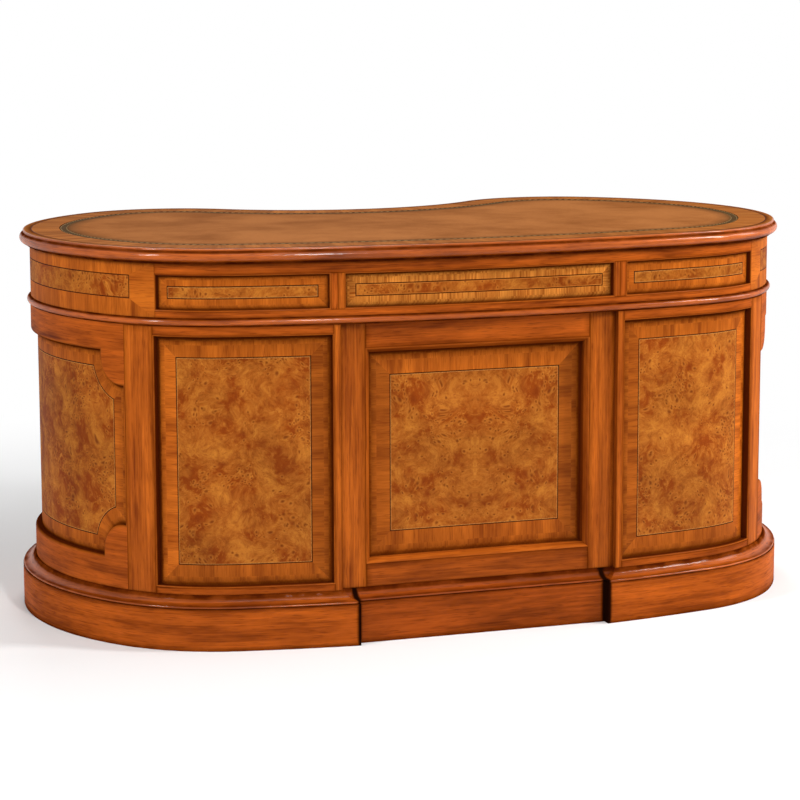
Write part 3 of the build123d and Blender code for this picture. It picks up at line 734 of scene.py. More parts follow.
class DeskSizes(bpy.types.PropertyGroup):
    """Sizes of the veneers, inlays and leather."""

    panel_band: bpy.props.FloatProperty(
        name="Panel crossband", description="Width of the crossband round the pedestal panels",
        default=0.039, unit="LENGTH")
    end_band: bpy.props.FloatProperty(
        name="End crossband", description="Width of the crossband round the notched end panels",
        default=0.033, unit="LENGTH")
    modesty_band: bpy.props.FloatProperty(
        name="Modesty crossband", description="Width of the crossband round the middle panel",
        default=0.046, unit="LENGTH")
    frieze_band: bpy.props.FloatProperty(
        name="Frieze crossband", description="Width of the crossband round the frieze panels",
        default=0.0195, unit="LENGTH")
    line: bpy.props.FloatProperty(
        name="Stringing", description="Width of the dark line let in beside each crossband",
        default=0.0021, unit="LENGTH")
    edge: bpy.props.FloatProperty(
        name="Frame edge", description="Radius of the rounded inner edge of each frame",
        default=0.0025, unit="LENGTH")
    end_edge: bpy.props.FloatProperty(
        name="End frame edge", description="Radius of the rounded edge of the notched end openings",
        default=0.0045, unit="LENGTH")
    drawer_band: bpy.props.FloatProperty(
        name="Drawer crossband", description="Width of the crossband round the drawer fronts",
        default=0.016, unit="LENGTH")
    top_band: bpy.props.FloatProperty(
        name="Top crossband", description="Width of the crossband round the leather",
        default=0.055, unit="LENGTH")
    tooled_band: bpy.props.FloatProperty(
        name="Tooled band", description="Width of the tooled band round the leather",
        default=0.010, unit="LENGTH")
    dyed_edge: bpy.props.FloatProperty(
        name="Dyed edge", description="Width over which the dark dye of the leather's edge fades",
        default=0.035, unit="LENGTH")
    leather_grain: bpy.props.FloatProperty(
        name="Leather grain", description="Distance between the pebbles of the hide",
        default=0.0016, unit="LENGTH")


class DeskColours(bpy.types.PropertyGroup):
    """Colours of the timbers, the leather and the metal."""

    frame_light: bpy.props.FloatVectorProperty(
        name="Frame light", description="Light tone of the frames' walnut",
        default=linear("#C1621A"), size=4, subtype="COLOR")
    frame_dark: bpy.props.FloatVectorProperty(
        name="Frame dark", description="Dark tone of the frames' walnut",
        default=linear("#6E2A05"), size=4, subtype="COLOR")
    rail_light: bpy.props.FloatVectorProperty(
        name="Rail light", description="Light tone of the redder rails and plinth",
        default=linear("#BC5A17"), size=4, subtype="COLOR")
    rail_dark: bpy.props.FloatVectorProperty(
        name="Rail dark", description="Dark tone of the redder rails and plinth",
        default=linear("#642604"), size=4, subtype="COLOR")
    band_light: bpy.props.FloatVectorProperty(
        name="Crossband light", description="Light tone of the crossbands",
        default=linear("#C1651A"), size=4, subtype="COLOR")
    band_dark: bpy.props.FloatVectorProperty(
        name="Crossband dark", description="Dark tone of the crossbands",
        default=linear("#722D05"), size=4, subtype="COLOR")
    burr_light: bpy.props.FloatVectorProperty(
        name="Burr light", description="Gold ground of the burr",
        default=linear("#C27628"), size=4, subtype="COLOR")
    burr_middle: bpy.props.FloatVectorProperty(
        name="Burr middle", description="Brown clouds of the burr",
        default=linear("#8C3E0B"), size=4, subtype="COLOR")
    burr_dark: bpy.props.FloatVectorProperty(
        name="Burr dark", description="Shade round the knots of the burr",
        default=linear("#6C2605"), size=4, subtype="COLOR")
    burr_eye: bpy.props.FloatVectorProperty(
        name="Burr eyes", description="Eyes in the knots of the burr",
        default=linear("#621F05"), size=4, subtype="COLOR")
    # Dark colour of antique glaze and of painted shade in corners, recesses, under edges and along the floor
    glaze: bpy.props.FloatVectorProperty(
        name="Glaze", description="Antique glaze left in corners",
        default=linear("#471703"), size=4, subtype="COLOR")
    line: bpy.props.FloatVectorProperty(
        name="Stringing", description="Dyed line beside each crossband",
        default=linear("#431906"), size=4, subtype="COLOR")
    leather_light: bpy.props.FloatVectorProperty(
        name="Leather light", description="Light tone of the hide",
        default=linear("#B06E3A"), size=4, subtype="COLOR")
    leather_dark: bpy.props.FloatVectorProperty(
        name="Leather dark", description="Dark tone of the hide",
        default=linear("#925628"), size=4, subtype="COLOR")
    tooled: bpy.props.FloatVectorProperty(
        name="Tooled band", description="Dyed ground of the tooled band",
        default=linear("#3E2E1A"), size=4, subtype="COLOR")
    brass: bpy.props.FloatVectorProperty(
        name="Brass", description="Polished tone of the pulls",
        default=linear("#C79A4B"), size=4, subtype="COLOR")


# Height of each hollow or arris and the share of antique glaze and painted shade there: shade under the
# top's and the waist's overhangs and, on the plinth, along the floor
MOULDING_GLAZE_AND_SHADE = (
    (0.6148, 1.0), (0.6170, 0.9), (0.6190, 0.25), (0.6215, 0.0), (0.6255, 0.0), (0.6275, 0.45),
    (0.6290, 0.95), (0.6308, 1.0), (0.7330, 1.0), (0.7372, 0.9), (0.7392, 0.45), (0.7430, 0.0),
    (0.7520, 0.0), (0.7545, 0.75), (0.7575, 0.85), (0.7595, 0.15), (0.7620, 0.0),
)
PLINTH_GLAZE_AND_SHADE = (
    (0.0, 0.85), (0.004, 0.6), (0.010, 0.15), (0.020, 0.0), (0.070, 0.0), (0.077, 0.2), (0.0802, 0.7),
    (0.0815, 0.9), (0.0828, 0.25), (0.0845, 0.0), (0.0860, 0.7), (0.0880, 0.3), (0.0905, 0.12),
    (0.0945, 0.35), (0.0970, 0.8), (0.1030, 1.0),
)
# The plinth's moulding is polished, and its flat board is only rubbed
PLINTH_POLISH = ((0.0, 0.2), (0.080, 0.2), (0.083, 1.0), (0.103, 1.0))
# Settings of timber that is read in the desk's frame: with level grain, shinier as a moulding, and with
# the plinth's glaze and painted shade
LEVEL = {"along": "xy", "source": "frame"}
MOULDED = {**LEVEL, "streak": 0.7, "gloss": 0.15, "film": 0.55}
PLINTH = {**MOULDED, "flame": 0.4, "marks": PLINTH_GLAZE_AND_SHADE, "polish": PLINTH_POLISH, "corner": PLINTH_STEP}
# Materials made so far, by name
finishes = {}


def finish(name):
    """Material of the desk, made the first time that a piece asks for it."""
    if name in finishes:
        return finishes[name]
    colours = bpy.context.scene.desk_colours
    c = {key: tuple(getattr(colours, key)) for key in DeskColours.__annotations__}
    frame_walnut = (c["frame_light"], c["frame_dark"], c["glaze"])
    rail_walnut = (c["rail_light"], c["rail_dark"], c["glaze"])
    band_walnut = (c["band_light"], c["band_dark"], c["glaze"])
    top_walnut = (linear("#AA672E"), linear("#7A4016"), c["glaze"])
    makers = {
        # Straight-grained walnut, lacquered, for stiles: brown streaks, open pores and a soft gloss
        "walnut_frame_lacquered": lambda: timber(name, *frame_walnut),
        # Stained walnut for rails: the same timber, redder, with cathedral figure
        "walnut_rail_lacquered": lambda: timber(name, *rail_walnut, streak=0.75, flame=0.7),
        # Walnut veneer cut across the sheet: light, in short lengths of different tone
        "walnut_crossband_veneer": lambda: timber(name, *band_walnut, streak=0.6, block=(0.085, 0.08)),
        # The same veneer from a curlier leaf, on the frieze's middle panel: golden, with short bars across
        "walnut_crossband_figured": lambda: timber(
            name, linear("#D08030"), linear("#86400C"), c["glaze"], streak=1.8, block=(0.016, 0.2)),
        # Walnut shaped to a moulding and polished: level grain, bright gleams, and dark hollows of glaze and
        # painted shade
        "walnut_moulding_shaped": lambda: timber(name, *rail_walnut, **MOULDED, marks=MOULDING_GLAZE_AND_SHADE),
        # Walnut plinth boards, rubbed dull below a polished moulding, with glaze and painted shade in its
        # hollows, along the floor and at its steps
        "walnut_plinth_board": lambda: timber(name, *rail_walnut, **PLINTH),
        # The plinth board set back in the middle: darker
        "walnut_plinth_centre_board": lambda: timber(
            name, linear("#A24913"), linear("#5C2404"), c["glaze"], **PLINTH),
        # Crossband of the top, waxed and worn by arms: browner, with hardly any gloss
        "walnut_top_crossband": lambda: timber(
            name, *top_walnut, streak=0.7, block=(0.085, 0.14), gloss=0.4, film=0.04),
        # Flat of the moulding beside it, worn the same way, in one length
        "walnut_top_edge": lambda: timber(name, *top_walnut, streak=0.7, gloss=0.4, film=0.04),
        # Plain walnut boards, lacquered as the frames are, with upright grain for sides and partitions
        # and level grain for floors and shelves
        "walnut_upright_board": lambda: timber(name, *frame_walnut, "z", "frame"),
        "walnut_level_board": lambda: timber(name, *frame_walnut, **LEVEL),
        # Sliced burr of walnut: gold and brown clouds, red knots with dark eyes, under the same lacquer
        "burr_walnut_veneer": lambda: burr(
            name, c["burr_light"], c["burr_middle"], c["burr_dark"], c["burr_eye"], c["glaze"]),
        # Sycamore dyed through: a thin line, nearly black
        "sycamore_dyed_line": lambda: stringing(name, c["line"]),
        # Sycamore left plain and yellowed by the lacquer: a thin gold line beside it, which also stands for
        # the highlight along the stringing, so partly painted highlight
        "sycamore_plain_line": lambda: stringing(name, linear("#B67A3A")),
        # Vegetable-tanned hide, waxed: brown, matt, with a fine pebbled grain
        "cowhide_waxed": lambda: hide(
            name, c["leather_light"], c["leather_dark"], c["tooled"],
            bpy.context.scene.desk_sizes.leather_grain),
        # Hide pressed with a hot wheel and dyed: a dark matt band of small brown lozenges
        "cowhide_tooled_band": lambda: tooling(name, c["tooled"], linear("#6A4A26"), 0.012),
        # Gold leaf pressed into the hide and rubbed dull: a broken pale line
        "cowhide_gilt_line": lambda: tooling(name, c["tooled"], linear("#D8B070"), 0.014),
        # Cast brass, polished and lacquered: yellow, bright on its rounds and brown in its hollows
        "brass_cast_lacquered": lambda: cast_brass(name, c["brass"], linear("#6B4718")),
        # Drawer linings in plain oak, sealed: pale, with hardly any gloss
        "oak_lining_sealed": lambda: timber(
            name, linear("#CC9C68"), linear("#AE7844"), linear("#5A3416"), "y", "frame",
            gloss=0.55, film=0.06),
    }
    finishes[name] = makers[name]()
    return finishes[name]


def dress(node_names, name):
    """Gives CAD nodes a better material."""
    for node_name in node_names:
        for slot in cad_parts[node_name].material_slots:
            slot.material = finish(name)


FRAME_KINDS = (
    "walnut_frame_lacquered", "walnut_rail_lacquered", "walnut_crossband_veneer",
    "sycamore_dyed_line", "sycamore_plain_line", "burr_walnut_veneer", "walnut_crossband_figured",
)
STILE, RAIL, BAND, DARK, PALE_LINE_AND_HIGHLIGHT, BURR, FIGURED = range(7)
PANEL_KINDS = (BAND, DARK, PALE_LINE_AND_HIGHLIGHT, BURR)
FRIEZE_KINDS = (FIGURED, DARK, FIGURED, BURR)
# Sign of X on each side of the desk, and the side's word in names
SIDES = ((1, "right"), (-1, "left"))


def frame_shape():
    """Empty shape with the materials of frames and panels."""
    return Shape(*[finish(name) for name in FRAME_KINDS])


def plan_loop(offset, height):
    """Closed loop round the whole desk at an offset and a height."""
    places = []
    for start, stop, _, _, _ in ARCS:
        count = max(2, round((stop - start) / STATION_STEP))
        places += [start + (stop - start) * index / count for index in range(count)]
    places += [-station for station in reversed(places[1:])]
    places.insert(len(places) // 2 + 1, HALF_LOOP)
    return [on_plan(station, offset, height) for station in places]


class DESK_OT_top(bpy.types.Operator):
    """Top board with its crossband, and the edge moulding"""

    bl_idname = "desk.top"
    bl_label = "Top"

    def execute(self, context):
        sizes = context.scene.desk_sizes
        shape = Shape(
            finish("walnut_top_crossband"), finish("sycamore_dyed_line"), finish("walnut_rail_lacquered"))
        drawing = shape.solid()
        bed = LEATHER_TOP - LEATHER_THICK
        band = LEATHER_EDGE + sizes.top_band
        loops = [
            (MOULDING_INNER, DESK_TOP), (band + sizes.line, DESK_TOP), (band, DESK_TOP),
            (LEATHER_EDGE, DESK_TOP), (LEATHER_EDGE, bed),
        ]
        rounds = [plan_loop(*loop) for loop in loops]
        under = plan_loop(MOULDING_INNER, TOP_BOTTOM)
        band_kind, line_kind, board_kind = range(3)
        ring(drawing, rounds[0], rounds[1], board_kind)
        ring(drawing, rounds[1], rounds[2], line_kind)
        ring(drawing, rounds[2], rounds[3], band_kind, crosswise=True)
        ring(drawing, rounds[3], rounds[4], board_kind, glaze=(0.5, 0.9))
        ring(drawing, rounds[0], under, board_kind)
        for loop in (rounds[4], under):
            level_face(drawing, loop, board_kind)
        shape.take(drawing, bent=False)
        shape.finish("top_crossbanded_board", "desk", "top_veneer", ["top_board"])
        self.moulding()
        return {"FINISHED"}

    def moulding(self):
        """Edge of the top: a fillet, a torus and a small bead that ends in the flat of the top."""
        shape = Shape(finish("walnut_moulding_shaped"), finish("walnut_top_edge"))
        drawing = shape.solid()
        fillet, torus, bead, middle, steps = 0.006, 0.0095, 0.0025, 0.7465, 10
        low, high = -90, math.degrees(math.acos(bead / torus))
        profile = [(MOULDING_INNER, TOP_BOTTOM), (fillet, TOP_BOTTOM), (fillet, middle - torus)]
        for index in range(steps + 1):
            angle = low + (high - low) * index / steps
            profile.append((torus + torus * cos(angle), middle + torus * sin(angle)))
        for angle in (0, 30, 60, 90):
            profile.append((torus + bead * cos(angle), DESK_TOP - bead + bead * sin(angle)))
        profile.append((MOULDING_INNER, DESK_TOP))
        rounds = [plan_loop(*place) for place in profile]
        shaped_kind, flat_kind = range(2)
        flat = len(rounds) - 2
        for index, loop in enumerate(rounds):
            kind, inner_glaze = (flat_kind, 0.8) if index == flat else (shaped_kind, 0.0)
            ring(drawing, loop, rounds[(index + 1) % len(rounds)], kind, glaze=(0.0, inner_glaze))
        shape.take(drawing, bent=False)
        shape.finish("top_edge_shaped", "desk", "moulding_walnut", ["top_edge_moulding"])


class DESK_OT_leather(bpy.types.Operator):
    """Leather writing surface with its tooled band"""

    bl_idname = "desk.leather"
    bl_label = "Leather"

    def execute(self, context):
        sizes = context.scene.desk_sizes
        shape = Shape(finish("cowhide_waxed"), finish("cowhide_tooled_band"), finish("cowhide_gilt_line"))
        hide_kind, tooled_kind, gilt_kind = range(3)
        drawing = shape.solid()
        rim, pressed = LEATHER_TOP - 0.001, LEATHER_TOP - 0.0003
        tooled_start = 0.004
        tooled = tooled_start + sizes.tooled_band
        # Offset inwards from the edge, height, kind of the strip that starts there and share of dark dye
        steps = (
            (0.0, rim, hide_kind, 1.0), (0.0015, LEATHER_TOP, hide_kind, 1.0),
            (0.0025, LEATHER_TOP, gilt_kind, 0.9), (tooled_start, pressed, tooled_kind, 1.0),
            (tooled, pressed, gilt_kind, 1.0), (tooled + 0.0014, LEATHER_TOP, hide_kind, 0.85),
            (tooled + 0.010, LEATHER_TOP, hide_kind, 0.45),
            (tooled + sizes.dyed_edge, LEATHER_TOP, hide_kind, 0.0),
        )
        rounds = [plan_loop(LEATHER_EDGE - inset, height) for inset, height, _, _ in steps]
        for index in range(len(steps) - 1):
            ring(drawing, rounds[index], rounds[index + 1], steps[index][2],
                 glaze=(steps[index][3], steps[index + 1][3]))
        level_face(drawing, rounds[-1], hide_kind)
        under = plan_loop(LEATHER_EDGE, LEATHER_TOP - LEATHER_THICK)
        ring(drawing, rounds[0], under, hide_kind)
        level_face(drawing, under, hide_kind)
        shape.take(drawing, bent=False)
        shape.finish("leather_tooled_sheet", "desk", "leather", ["top_leather"])
        return {"FINISHED"}


# Frames and sunk panels


def mirrored(loop, side):
    """The loop as it is for side 1, and its mirror image for side -1."""
    return [(side * point[0], point[1], point[2]) for point in loop]


def box_loop(start, stop, low, high, offset):
    """Closed loop of a rectangle on the face."""
    return rectangle(start, stop, low, high, 0, offset)


def board(shape, start, stop, low, high, outer, inner, kind, upright, side=1, back=None, seed=0.0,
          tone=0.0):
    """Plain board of a frame, its back between its own stations where its edges aren't square."""
    drawing = shape.solid()
    first, last = back or (start, stop)
    prism(
        drawing, mirrored(box_loop(start, stop, low, high, outer), side),
        mirrored(box_loop(first, last, low, high, inner), side), kind, upright, seed,
        [mirrored(loop, side) for loop in rims_of(start, stop, low, high, outer)], tone)
    shape.take(drawing)


def panel_in(shape, outline, edge, band, line, frame_face, face, back, fields, side=1, seed=0.0,
             tones=(0.0,), kinds=PANEL_KINDS):
    """Edge moulding of an opening and the veneered panel that is seated behind it."""
    def placed(inset, offset):
        return mirrored(outline(inset, offset), side)

    drawing = shape.solid()
    sticking(drawing, placed, edge, frame_face, back, STILE)
    shape.take(drawing)
    drawing = shape.solid()
    veneered_panel(drawing, placed, band, line, face, back, kinds, fields, seed, tones)
    shape.take(drawing)


class DESK_OT_frieze(bpy.types.Operator):
    """Frieze with its sunk panels, and the ends with their burr inlay"""

    bl_idname = "desk.frieze"
    bl_label = "Frieze"

    def execute(self, context):
        sizes = context.scene.desk_sizes
        edge, low, high, face = sizes.edge, FRIEZE_LOW, FRIEZE_HIGH, FRIEZE_FACE
        # Each post between two panels is a light board and a redder one, which meet at this station
        joint = 0.2885
        shape = frame_shape()
        reach = FRIEZE_SIDE_STOP + edge
        board(shape, -reach, reach, FRIEZE_BOTTOM, low - edge, face, FRIEZE_BACK, RAIL, False, seed=0.2)
        board(shape, -reach, reach, high + edge, TOP_BOTTOM, face, FRIEZE_BACK, RAIL, False, seed=0.7,
              tone=0.1)
        posts = ((FRIEZE_CENTRE_HALF + edge, joint, STILE), (joint, FRIEZE_SIDE_START - edge, RAIL))
        for side in (1, -1):
            for start, stop, kind in posts:
                board(shape, start, stop, low - edge, high + edge, face, FRIEZE_BACK, kind, True, side,
                      seed=start)

            def opening(inset, offset):
                return rectangle(FRIEZE_SIDE_START, FRIEZE_SIDE_STOP, low, high, inset, offset)

            panel_in(shape, opening, edge, sizes.frieze_band, sizes.line, face, FRIEZE_RECESS, FRIEZE_BACK,
                     (3.1 * side, 0.4), side, seed=0.3 * side, tones=(0.05,))

        def centre(inset, offset):
            return rectangle(-FRIEZE_CENTRE_HALF, FRIEZE_CENTRE_HALF, low, high, inset, offset)

        panel_in(shape, centre, edge, sizes.frieze_band, sizes.line, face, FRIEZE_RECESS, FRIEZE_BACK,
                 (1.2, 0.9), seed=0.9, kinds=FRIEZE_KINDS)
        shape.finish("frieze_veneered_rail", "desk", "frame_walnut",
                     ["frieze_rail", "frieze_panel_centre", "frieze_panel_right", "frieze_panel_left"])
        stop = station_at(DRAWER_OUTER, face, *END_RANGE)
        back_stop = station_at(DRAWER_OUTER, FRIEZE_BACK, *END_RANGE)
        # The ends' burr field starts 56 mm past the sunk panel and stops 56 mm before the drawers
        margin = 0.056
        field = (FRIEZE_SIDE_STOP + margin, stop - margin, 0.664, 0.709)
        for side, word in SIDES:
            shape = frame_shape()
            drawing = shape.solid()
            outer = mirrored(box_loop(reach, stop, FRIEZE_BOTTOM, TOP_BOTTOM, face), side)
            line = mirrored(rectangle(*field, 0, face), side)
            dark = mirrored(rectangle(*field, sizes.line, face), side)
            ring(drawing, outer, line, BAND, True, board=0.15)
            ring(drawing, line, dark, DARK)
            upright_face(drawing, dark, BURR, (2.3, 0.7, 0.1))
            back = mirrored(box_loop(reach, back_stop, FRIEZE_BOTTOM, TOP_BOTTOM, FRIEZE_BACK), side)
            ring(drawing, outer, back, STILE)
            upright_face(drawing, back, STILE)
            shape.take(drawing)
            shape.finish("frieze_end_inlaid_" + word, "desk", "frame_walnut", ["frieze_end_" + word])
        dress(["waist_moulding"], "walnut_moulding_shaped")
        dress(["frieze_floor"], "walnut_level_board")
        dress(["frieze_partition_right", "frieze_partition_left"], "walnut_upright_board")
        return {"FINISHED"}


class DESK_OT_pedestals(bpy.types.Operator):
    """Curved pedestal walls: frames, sunk front panels and notched end panels"""

    bl_idname = "desk.pedestals"
    bl_label = "Pedestals"

    def execute(self, context):
        sizes = context.scene.desk_sizes
        edge, end_edge = sizes.edge, sizes.end_edge
        first, last = PANEL_START - edge, PANEL_STOP + edge
        end_first, end_last = END_START - end_edge, END_STOP + end_edge
        inner_front = station_at(PEDESTAL_INNER, 0, *FRONT_RANGE)
        inner_back = station_at(PEDESTAL_INNER, WALL_BACK, *FRONT_RANGE)
        outer_front = station_at(DRAWER_OUTER, 0, *END_RANGE)
        outer_back = station_at(DRAWER_OUTER, WALL_BACK, *END_RANGE)
        for side, word in SIDES:
            shape = frame_shape()
            # Start, stop, low and high of each board, its kind, back stations and place in the timber
            for start, stop, low, high, kind, back, seed in (
                    (inner_front, first, WALL_BOTTOM, WALL_TOP, STILE, (inner_back, first), 0.5),
                    (first, last, PANEL_HIGH + edge, WALL_TOP, RAIL, None, 1.2),
                    (first, last, WALL_BOTTOM, PANEL_LOW - edge, RAIL, None, 2.2),
                    (last, end_first, WALL_BOTTOM, WALL_TOP, STILE, None, 3.1 + 0.3 * side),
                    (end_last, outer_front, WALL_BOTTOM, WALL_TOP, STILE, (end_last, outer_back), 4.4)):
                board(shape, start, stop, low, high, 0, WALL_BACK, kind, kind == STILE, side, back, seed)

            def opening(inset, offset):
                return rectangle(PANEL_START, PANEL_STOP, PANEL_LOW, PANEL_HIGH, inset, offset)

            def end_opening(inset, offset):
                return notched(END_START, END_STOP, END_LOW, END_HIGH, inset, offset)

            # Tones of the crossband's runs, from the bottom one: partly the leaves' own tone, partly painted
            # light and shade as each run faces the light
            panel_in(shape, opening, edge, sizes.panel_band, sizes.line, 0, PANEL_RECESS, WALL_BACK,
                     (5.3 if side > 0 else 0.31, 2.1), side, seed=0.6 * side,
                     tones=(-0.13, 0.16, -0.08, -0.18))
            panel_in(shape, end_opening, end_edge, sizes.end_band, sizes.line, 0, PANEL_RECESS, WALL_BACK,
                     (7.1, 3.3 * side), side, seed=1.1 * side)
            around = end_opening(-end_edge, 0)
            half = len(around) // 2
            for points, rail_edge in ((around[half:], WALL_TOP), (around[:half], WALL_BOTTOM)):
                outline = [(points[0][0], 0, rail_edge), *points, (points[-1][0], 0, rail_edge)]
                front = mirrored(outline, side)
                drawing = shape.solid()
                prism(drawing, front, shift(front, WALL_BACK), RAIL, False, 5.2 + side, tone=-0.08)
                shape.take(drawing)
            shape.finish("pedestal_veneered_wall_" + word, "desk", "frame_walnut", [
                "pedestal_wall_" + word, "pedestal_front_panel_" + word, "pedestal_end_panel_" + word])
            dress(["pedestal_side_" + word], "walnut_upright_board")
            dress(["pedestal_floor_" + word, "pedestal_shelf_" + word], "walnut_level_board")
        return {"FINISHED"}


class DESK_OT_modesty(bpy.types.Operator):
    """Flat modesty board between the pedestals, with its sloped edge moulding and burr panel"""

    bl_idname = "desk.modesty"
    bl_label = "Modesty panel"

    def execute(self, context):
        sizes = context.scene.desk_sizes
        depth, slope = MODESTY_THICK, MODESTY_SLOPE
        half, low, high = MODESTY_HALF, MODESTY_LOW, MODESTY_HIGH
        shape = frame_shape()

        def straight(drawing):
            for vert in drawing.verts:
                vert.co = Vector((vert.co.x, MODESTY_FACE - vert.co.y, vert.co.z))
            shape.take(drawing, bent=False)

        def flat_board(start, stop, bottom, top, kind, upright, seed, tone=0.0):
            drawing = shape.solid()
            place = (start, stop, bottom, top)
            prism(drawing, box_loop(*place, 0), box_loop(*place, -depth), kind, upright, seed,
                  rims_of(*place, 0), tone)
            straight(drawing)

        for side in (1, -1):
            start, stop = sorted((side * (half + slope), side * PEDESTAL_INNER))
            flat_board(start, stop, WALL_BOTTOM, WALL_TOP, STILE, True, 6.1 + side)
        reach = half + slope
        flat_board(-reach, reach, high + slope, WALL_TOP, RAIL, False, 7.3, 0.08)
        flat_board(-reach, reach, WALL_BOTTOM, low - slope, RAIL, False, 8.4, -0.25)

        def opening(inset, offset):
            return rectangle(-half, half, low, high, inset, offset)

        drawing = shape.solid()
        # Painted shade on the sloped edge, by side from the bottom one: light below, where the light falls,
        # deep at the top and sides
        sticking(drawing, opening, slope, 0, -depth, STILE, slope=True, shades=(0.35, 1.0, 1.0, 0.8))
        straight(drawing)
        drawing = shape.solid()
        # Tones of the crossband's runs, from the bottom one: partly the leaves' own tone, partly painted
        # light and shade, lit at the top and darkest in the pedestal's painted shadow on the right
        veneered_panel(drawing, opening, sizes.modesty_band, sizes.line, -MODESTY_SINK, -depth, PANEL_KINDS,
                       (2.21, 3.17), 2.0, (-0.10, -0.25, 0.04, -0.17), matched=True)
        straight(drawing)
        shape.finish("modesty_veneered_board", "desk", "frame_walnut", ["modesty_frame", "modesty_panel"])
        return {"FINISHED"}


class DESK_OT_plinth(bpy.types.Operator):
    """Plinth boards with their coved moulding"""

    bl_idname = "desk.plinth"
    bl_label = "Plinth"

    def execute(self, context):
        dress(["plinth_right", "plinth_left"], "walnut_plinth_board")
        dress(["plinth_centre"], "walnut_plinth_centre_board")
        return {"FINISHED"}


class DESK_OT_drawers(bpy.types.Operator):
    """Drawer fronts with crossband, stringing and burr, and the drawer linings"""

    bl_idname = "desk.drawers"
    bl_label = "Drawers"

    def execute(self, context):
        sizes = context.scene.desk_sizes
        # Low and high edge of each row's openings, how far its face stands out, and the openings' inner
        # side on X
        rows = {
            "frieze": (FRIEZE_BOTTOM, TOP_BOTTOM, FRIEZE_FACE, 0.292),
            "upper": (0.425, WALL_TOP, 0.0, 0.299),
            "file": (0.119, 0.409, 0.0, 0.299),
        }
        centre_half = 0.276
        for side, word in SIDES:
            for row, (low, high, face, inner) in rows.items():
                self.front("drawer_%s_%s" % (row, word), inner, DRAWER_OUTER, low, high, face, side, sizes)
        self.front("drawer_centre", -centre_half, centre_half, FRIEZE_BOTTOM, TOP_BOTTOM, FRIEZE_FACE, 1,
                   sizes)
        dress([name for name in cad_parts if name.endswith("_box")], "oak_lining_sealed")
        return {"FINISHED"}

    def front(self, body, low_x, high_x, low, high, face, side, sizes):
        """One drawer front in an opening between two places on X and two heights."""
        def outline(inset, offset):
            if low_x < 0:
                first = station_at(high_x - DRAWER_GAP, offset, *BACK_RANGE)
                last = 2 * HALF_LOOP - first
            else:
                first = station_at(high_x - DRAWER_GAP, offset, *END_RANGE)
                last = station_at(low_x + DRAWER_GAP, offset, *BACK_RANGE)
            return mirrored(
                rectangle(first, last, low + DRAWER_GAP, high - DRAWER_GAP, inset, offset), side)

        shape = frame_shape()
        drawing = shape.solid()
        bead = 0.0012
        back = outline(0, face - DRAWER_THICK)
        ring(drawing, outline(bead, face), outline(0, face - bead), STILE)
        ring(drawing, outline(0, face - bead), back, STILE)
        band = outline(bead + sizes.drawer_band, face)
        dark = outline(bead + sizes.drawer_band + sizes.line, face)
        ring(drawing, outline(bead, face), band, BAND, True, board=len(body) * 0.3)
        ring(drawing, band, dark, DARK)
        # Each drawer's burr is cut at a place that its name gives
        move = sum(map(ord, body)) * 0.037
        upright_face(drawing, dark, BURR, (move, move, 0.4))
        upright_face(drawing, back, RAIL)
        shape.take(drawing)
        shape.finish(body + "_veneered_front", body, "drawer_walnut", [body + "_front"])


class DESK_OT_pulls(bpy.types.Operator):
    """Brass swan-neck pulls"""

    bl_idname = "desk.pulls"
    bl_label = "Pulls"

    def execute(self, context):
        dress([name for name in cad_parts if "_bail" in name or "_pull_mounts" in name],
              "brass_cast_lacquered")
        return {"FINISHED"}


WHITE = (1, 1, 1, 1)
# Turn from the visitor's side and rise in degrees, distance, width and height in metres, power in watts
SOFTBOXES = {
    "left_softbox": (-67, 30, 3.8, 0.35, 1.2, 58),
    "front_softbox": (-3, 32, 4.2, 0.3, 1.2, 58),
    "right_softbox": (60, 30, 3.8, 0.5, 1.4, 98),
    "side_softbox": (84, 24, 4.0, 1.2, 1.6, 34),
    "back_softbox": (170, 36, 4.2, 1.6, 1.6, 55),
    "top_softbox": (-5, 66, 3.4, 1.4, 0.8, 8),
}
# The photograph's viewing angle: place in metres, directions back and to the right, roll in degrees,
# and focal length and sensor in millimetres
CAMERA_PLACE = (-1.7724, -5.0839, 1.2611)
CAMERA_BACK = (-0.3227, -0.9329, 0.16005)
CAMERA_RIGHT = (0.94507, -0.32687, 0.0)
CAMERA_ROLL = -0.141
CAMERA_LENS = 117.94
CAMERA_SENSOR = 36.0


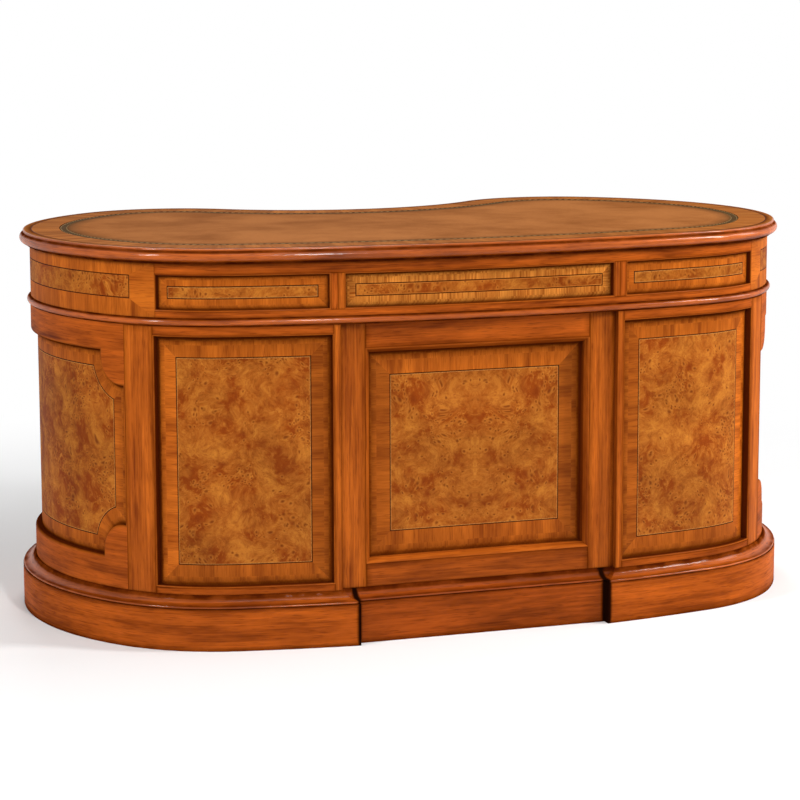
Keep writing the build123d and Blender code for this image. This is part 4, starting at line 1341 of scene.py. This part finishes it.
class DESK_OT_stage(bpy.types.Operator):
    """Pale floor, soft lights, plain surroundings and the camera"""

    bl_idname = "desk.stage"
    bl_label = "Stage"

    def execute(self, context):
        scene = context.scene
        scene.view_settings.view_transform = "Standard"
        bpy.ops.mesh.primitive_plane_add(size=60)
        floor = context.object
        floor.name = "floor"
        floor.data.materials.append(self.floor_paint())
        world = bpy.data.worlds.new("studio_white")
        world.use_nodes = True
        scene.world = world
        world.node_tree.nodes.clear()
        add = partial(add_node, world.node_tree)
        shown = add("Background", {"Color": WHITE, "Strength": 1.0})
        lit = add("Background", {"Color": WHITE, "Strength": 0.2})
        add("OutputWorld", {"Surface": add("MixShader", (self.seen(add), lit, shown))})
        for name, settings in SOFTBOXES.items():
            self.lamp(name, *settings)
        data = bpy.data.cameras.new("camera")
        data.lens = CAMERA_LENS
        data.sensor_width = CAMERA_SENSOR
        camera = bpy.data.objects.new("camera", data)
        scene.collection.objects.link(camera)
        back = Vector(CAMERA_BACK).normalized()
        right = Vector(CAMERA_RIGHT).normalized()
        up = back.cross(right)
        turn = Matrix((right, up, back)).transposed().to_4x4()
        roll = Matrix.Rotation(math.radians(CAMERA_ROLL), 4, "Z")
        camera.matrix_world = Matrix.Translation(CAMERA_PLACE) @ turn @ roll
        scene.camera = camera
        return {"FINISHED"}

    def floor_paint(self):
        """Matt floor paint, pale near the desk, and plain white to the eye further out."""
        material, add = start_material("floor_painted_matt")
        paint = add("BsdfPrincipled", {"Base Color": linear("#F0F0F0"), "Roughness": 0.9})
        white = add("Emission", {"Color": WHITE, "Strength": 1.0})
        away = add("VectorMath", [add("TexCoord").outputs["Object"]], operation="LENGTH")
        far = add("MapRange", (away, 1.1, 2.4), interpolation_type="SMOOTHSTEP")
        share = add("Math", (far, self.seen(add)), operation="MULTIPLY")
        add("OutputMaterial", {"Surface": add("MixShader", (share, paint, white))})
        return material

    def seen(self, add):
        """One where a ray from the camera, or a mirror-like or clear surface, sees this."""
        path = add("LightPath")
        shine = add("Math", (path.outputs["Is Glossy Ray"], path.outputs["Is Transmission Ray"]),
                    operation="MAXIMUM")
        return add("Math", (path.outputs["Is Camera Ray"], shine), operation="MAXIMUM")

    def lamp(self, name, turn, rise, away, width, height, power):
        """Softbox at a turn from the visitor's side, a rise and a distance, aimed at the desk."""
        aim = Vector((0, 0, 0.42))
        data = bpy.data.lights.new(name, "AREA")
        data.shape = "RECTANGLE"
        data.size = width
        data.size_y = height
        data.energy = power
        lamp = bpy.data.objects.new(name, data)
        bpy.context.scene.collection.objects.link(lamp)
        lamp.location = aim + away * Vector((sin(turn) * cos(rise), -cos(turn) * cos(rise), sin(rise)))
        lamp.rotation_euler = (aim - lamp.location).to_track_quat("-Z", "Y").to_euler()


class DESK_PT_panel(bpy.types.Panel):
    """Buttons and sizes of the desk in the sidebar"""

    bl_idname = "DESK_PT_panel"
    bl_label = "Desk"
    bl_space_type = "VIEW_3D"
    bl_region_type = "UI"
    bl_category = "Desk"

    def draw(self, context):
        for operator in OPERATORS:
            self.layout.operator(operator.bl_idname)
        for group in (context.scene.desk_sizes, context.scene.desk_colours):
            for key in type(group).__annotations__:
                self.layout.prop(group, key)


OPERATORS = (
    DESK_OT_stage, DESK_OT_top, DESK_OT_leather, DESK_OT_frieze, DESK_OT_pedestals, DESK_OT_modesty,
    DESK_OT_plinth, DESK_OT_drawers, DESK_OT_pulls,
)
CLASSES = (DeskSizes, DeskColours) + OPERATORS + (DESK_PT_panel,)


def register():
    for item in CLASSES:
        bpy.utils.register_class(item)
    bpy.types.Scene.desk_sizes = bpy.props.PointerProperty(type=DeskSizes)
    bpy.types.Scene.desk_colours = bpy.props.PointerProperty(type=DeskColours)


def unregister():
    del bpy.types.Scene.desk_colours
    del bpy.types.Scene.desk_sizes
    for item in reversed(CLASSES):
        bpy.utils.unregister_class(item)


def main():
    register()
    for operator in OPERATORS:
        group, name = operator.bl_idname.split(".")
        getattr(getattr(bpy.ops, group), name)()


if __name__ == "__main__":
    main()
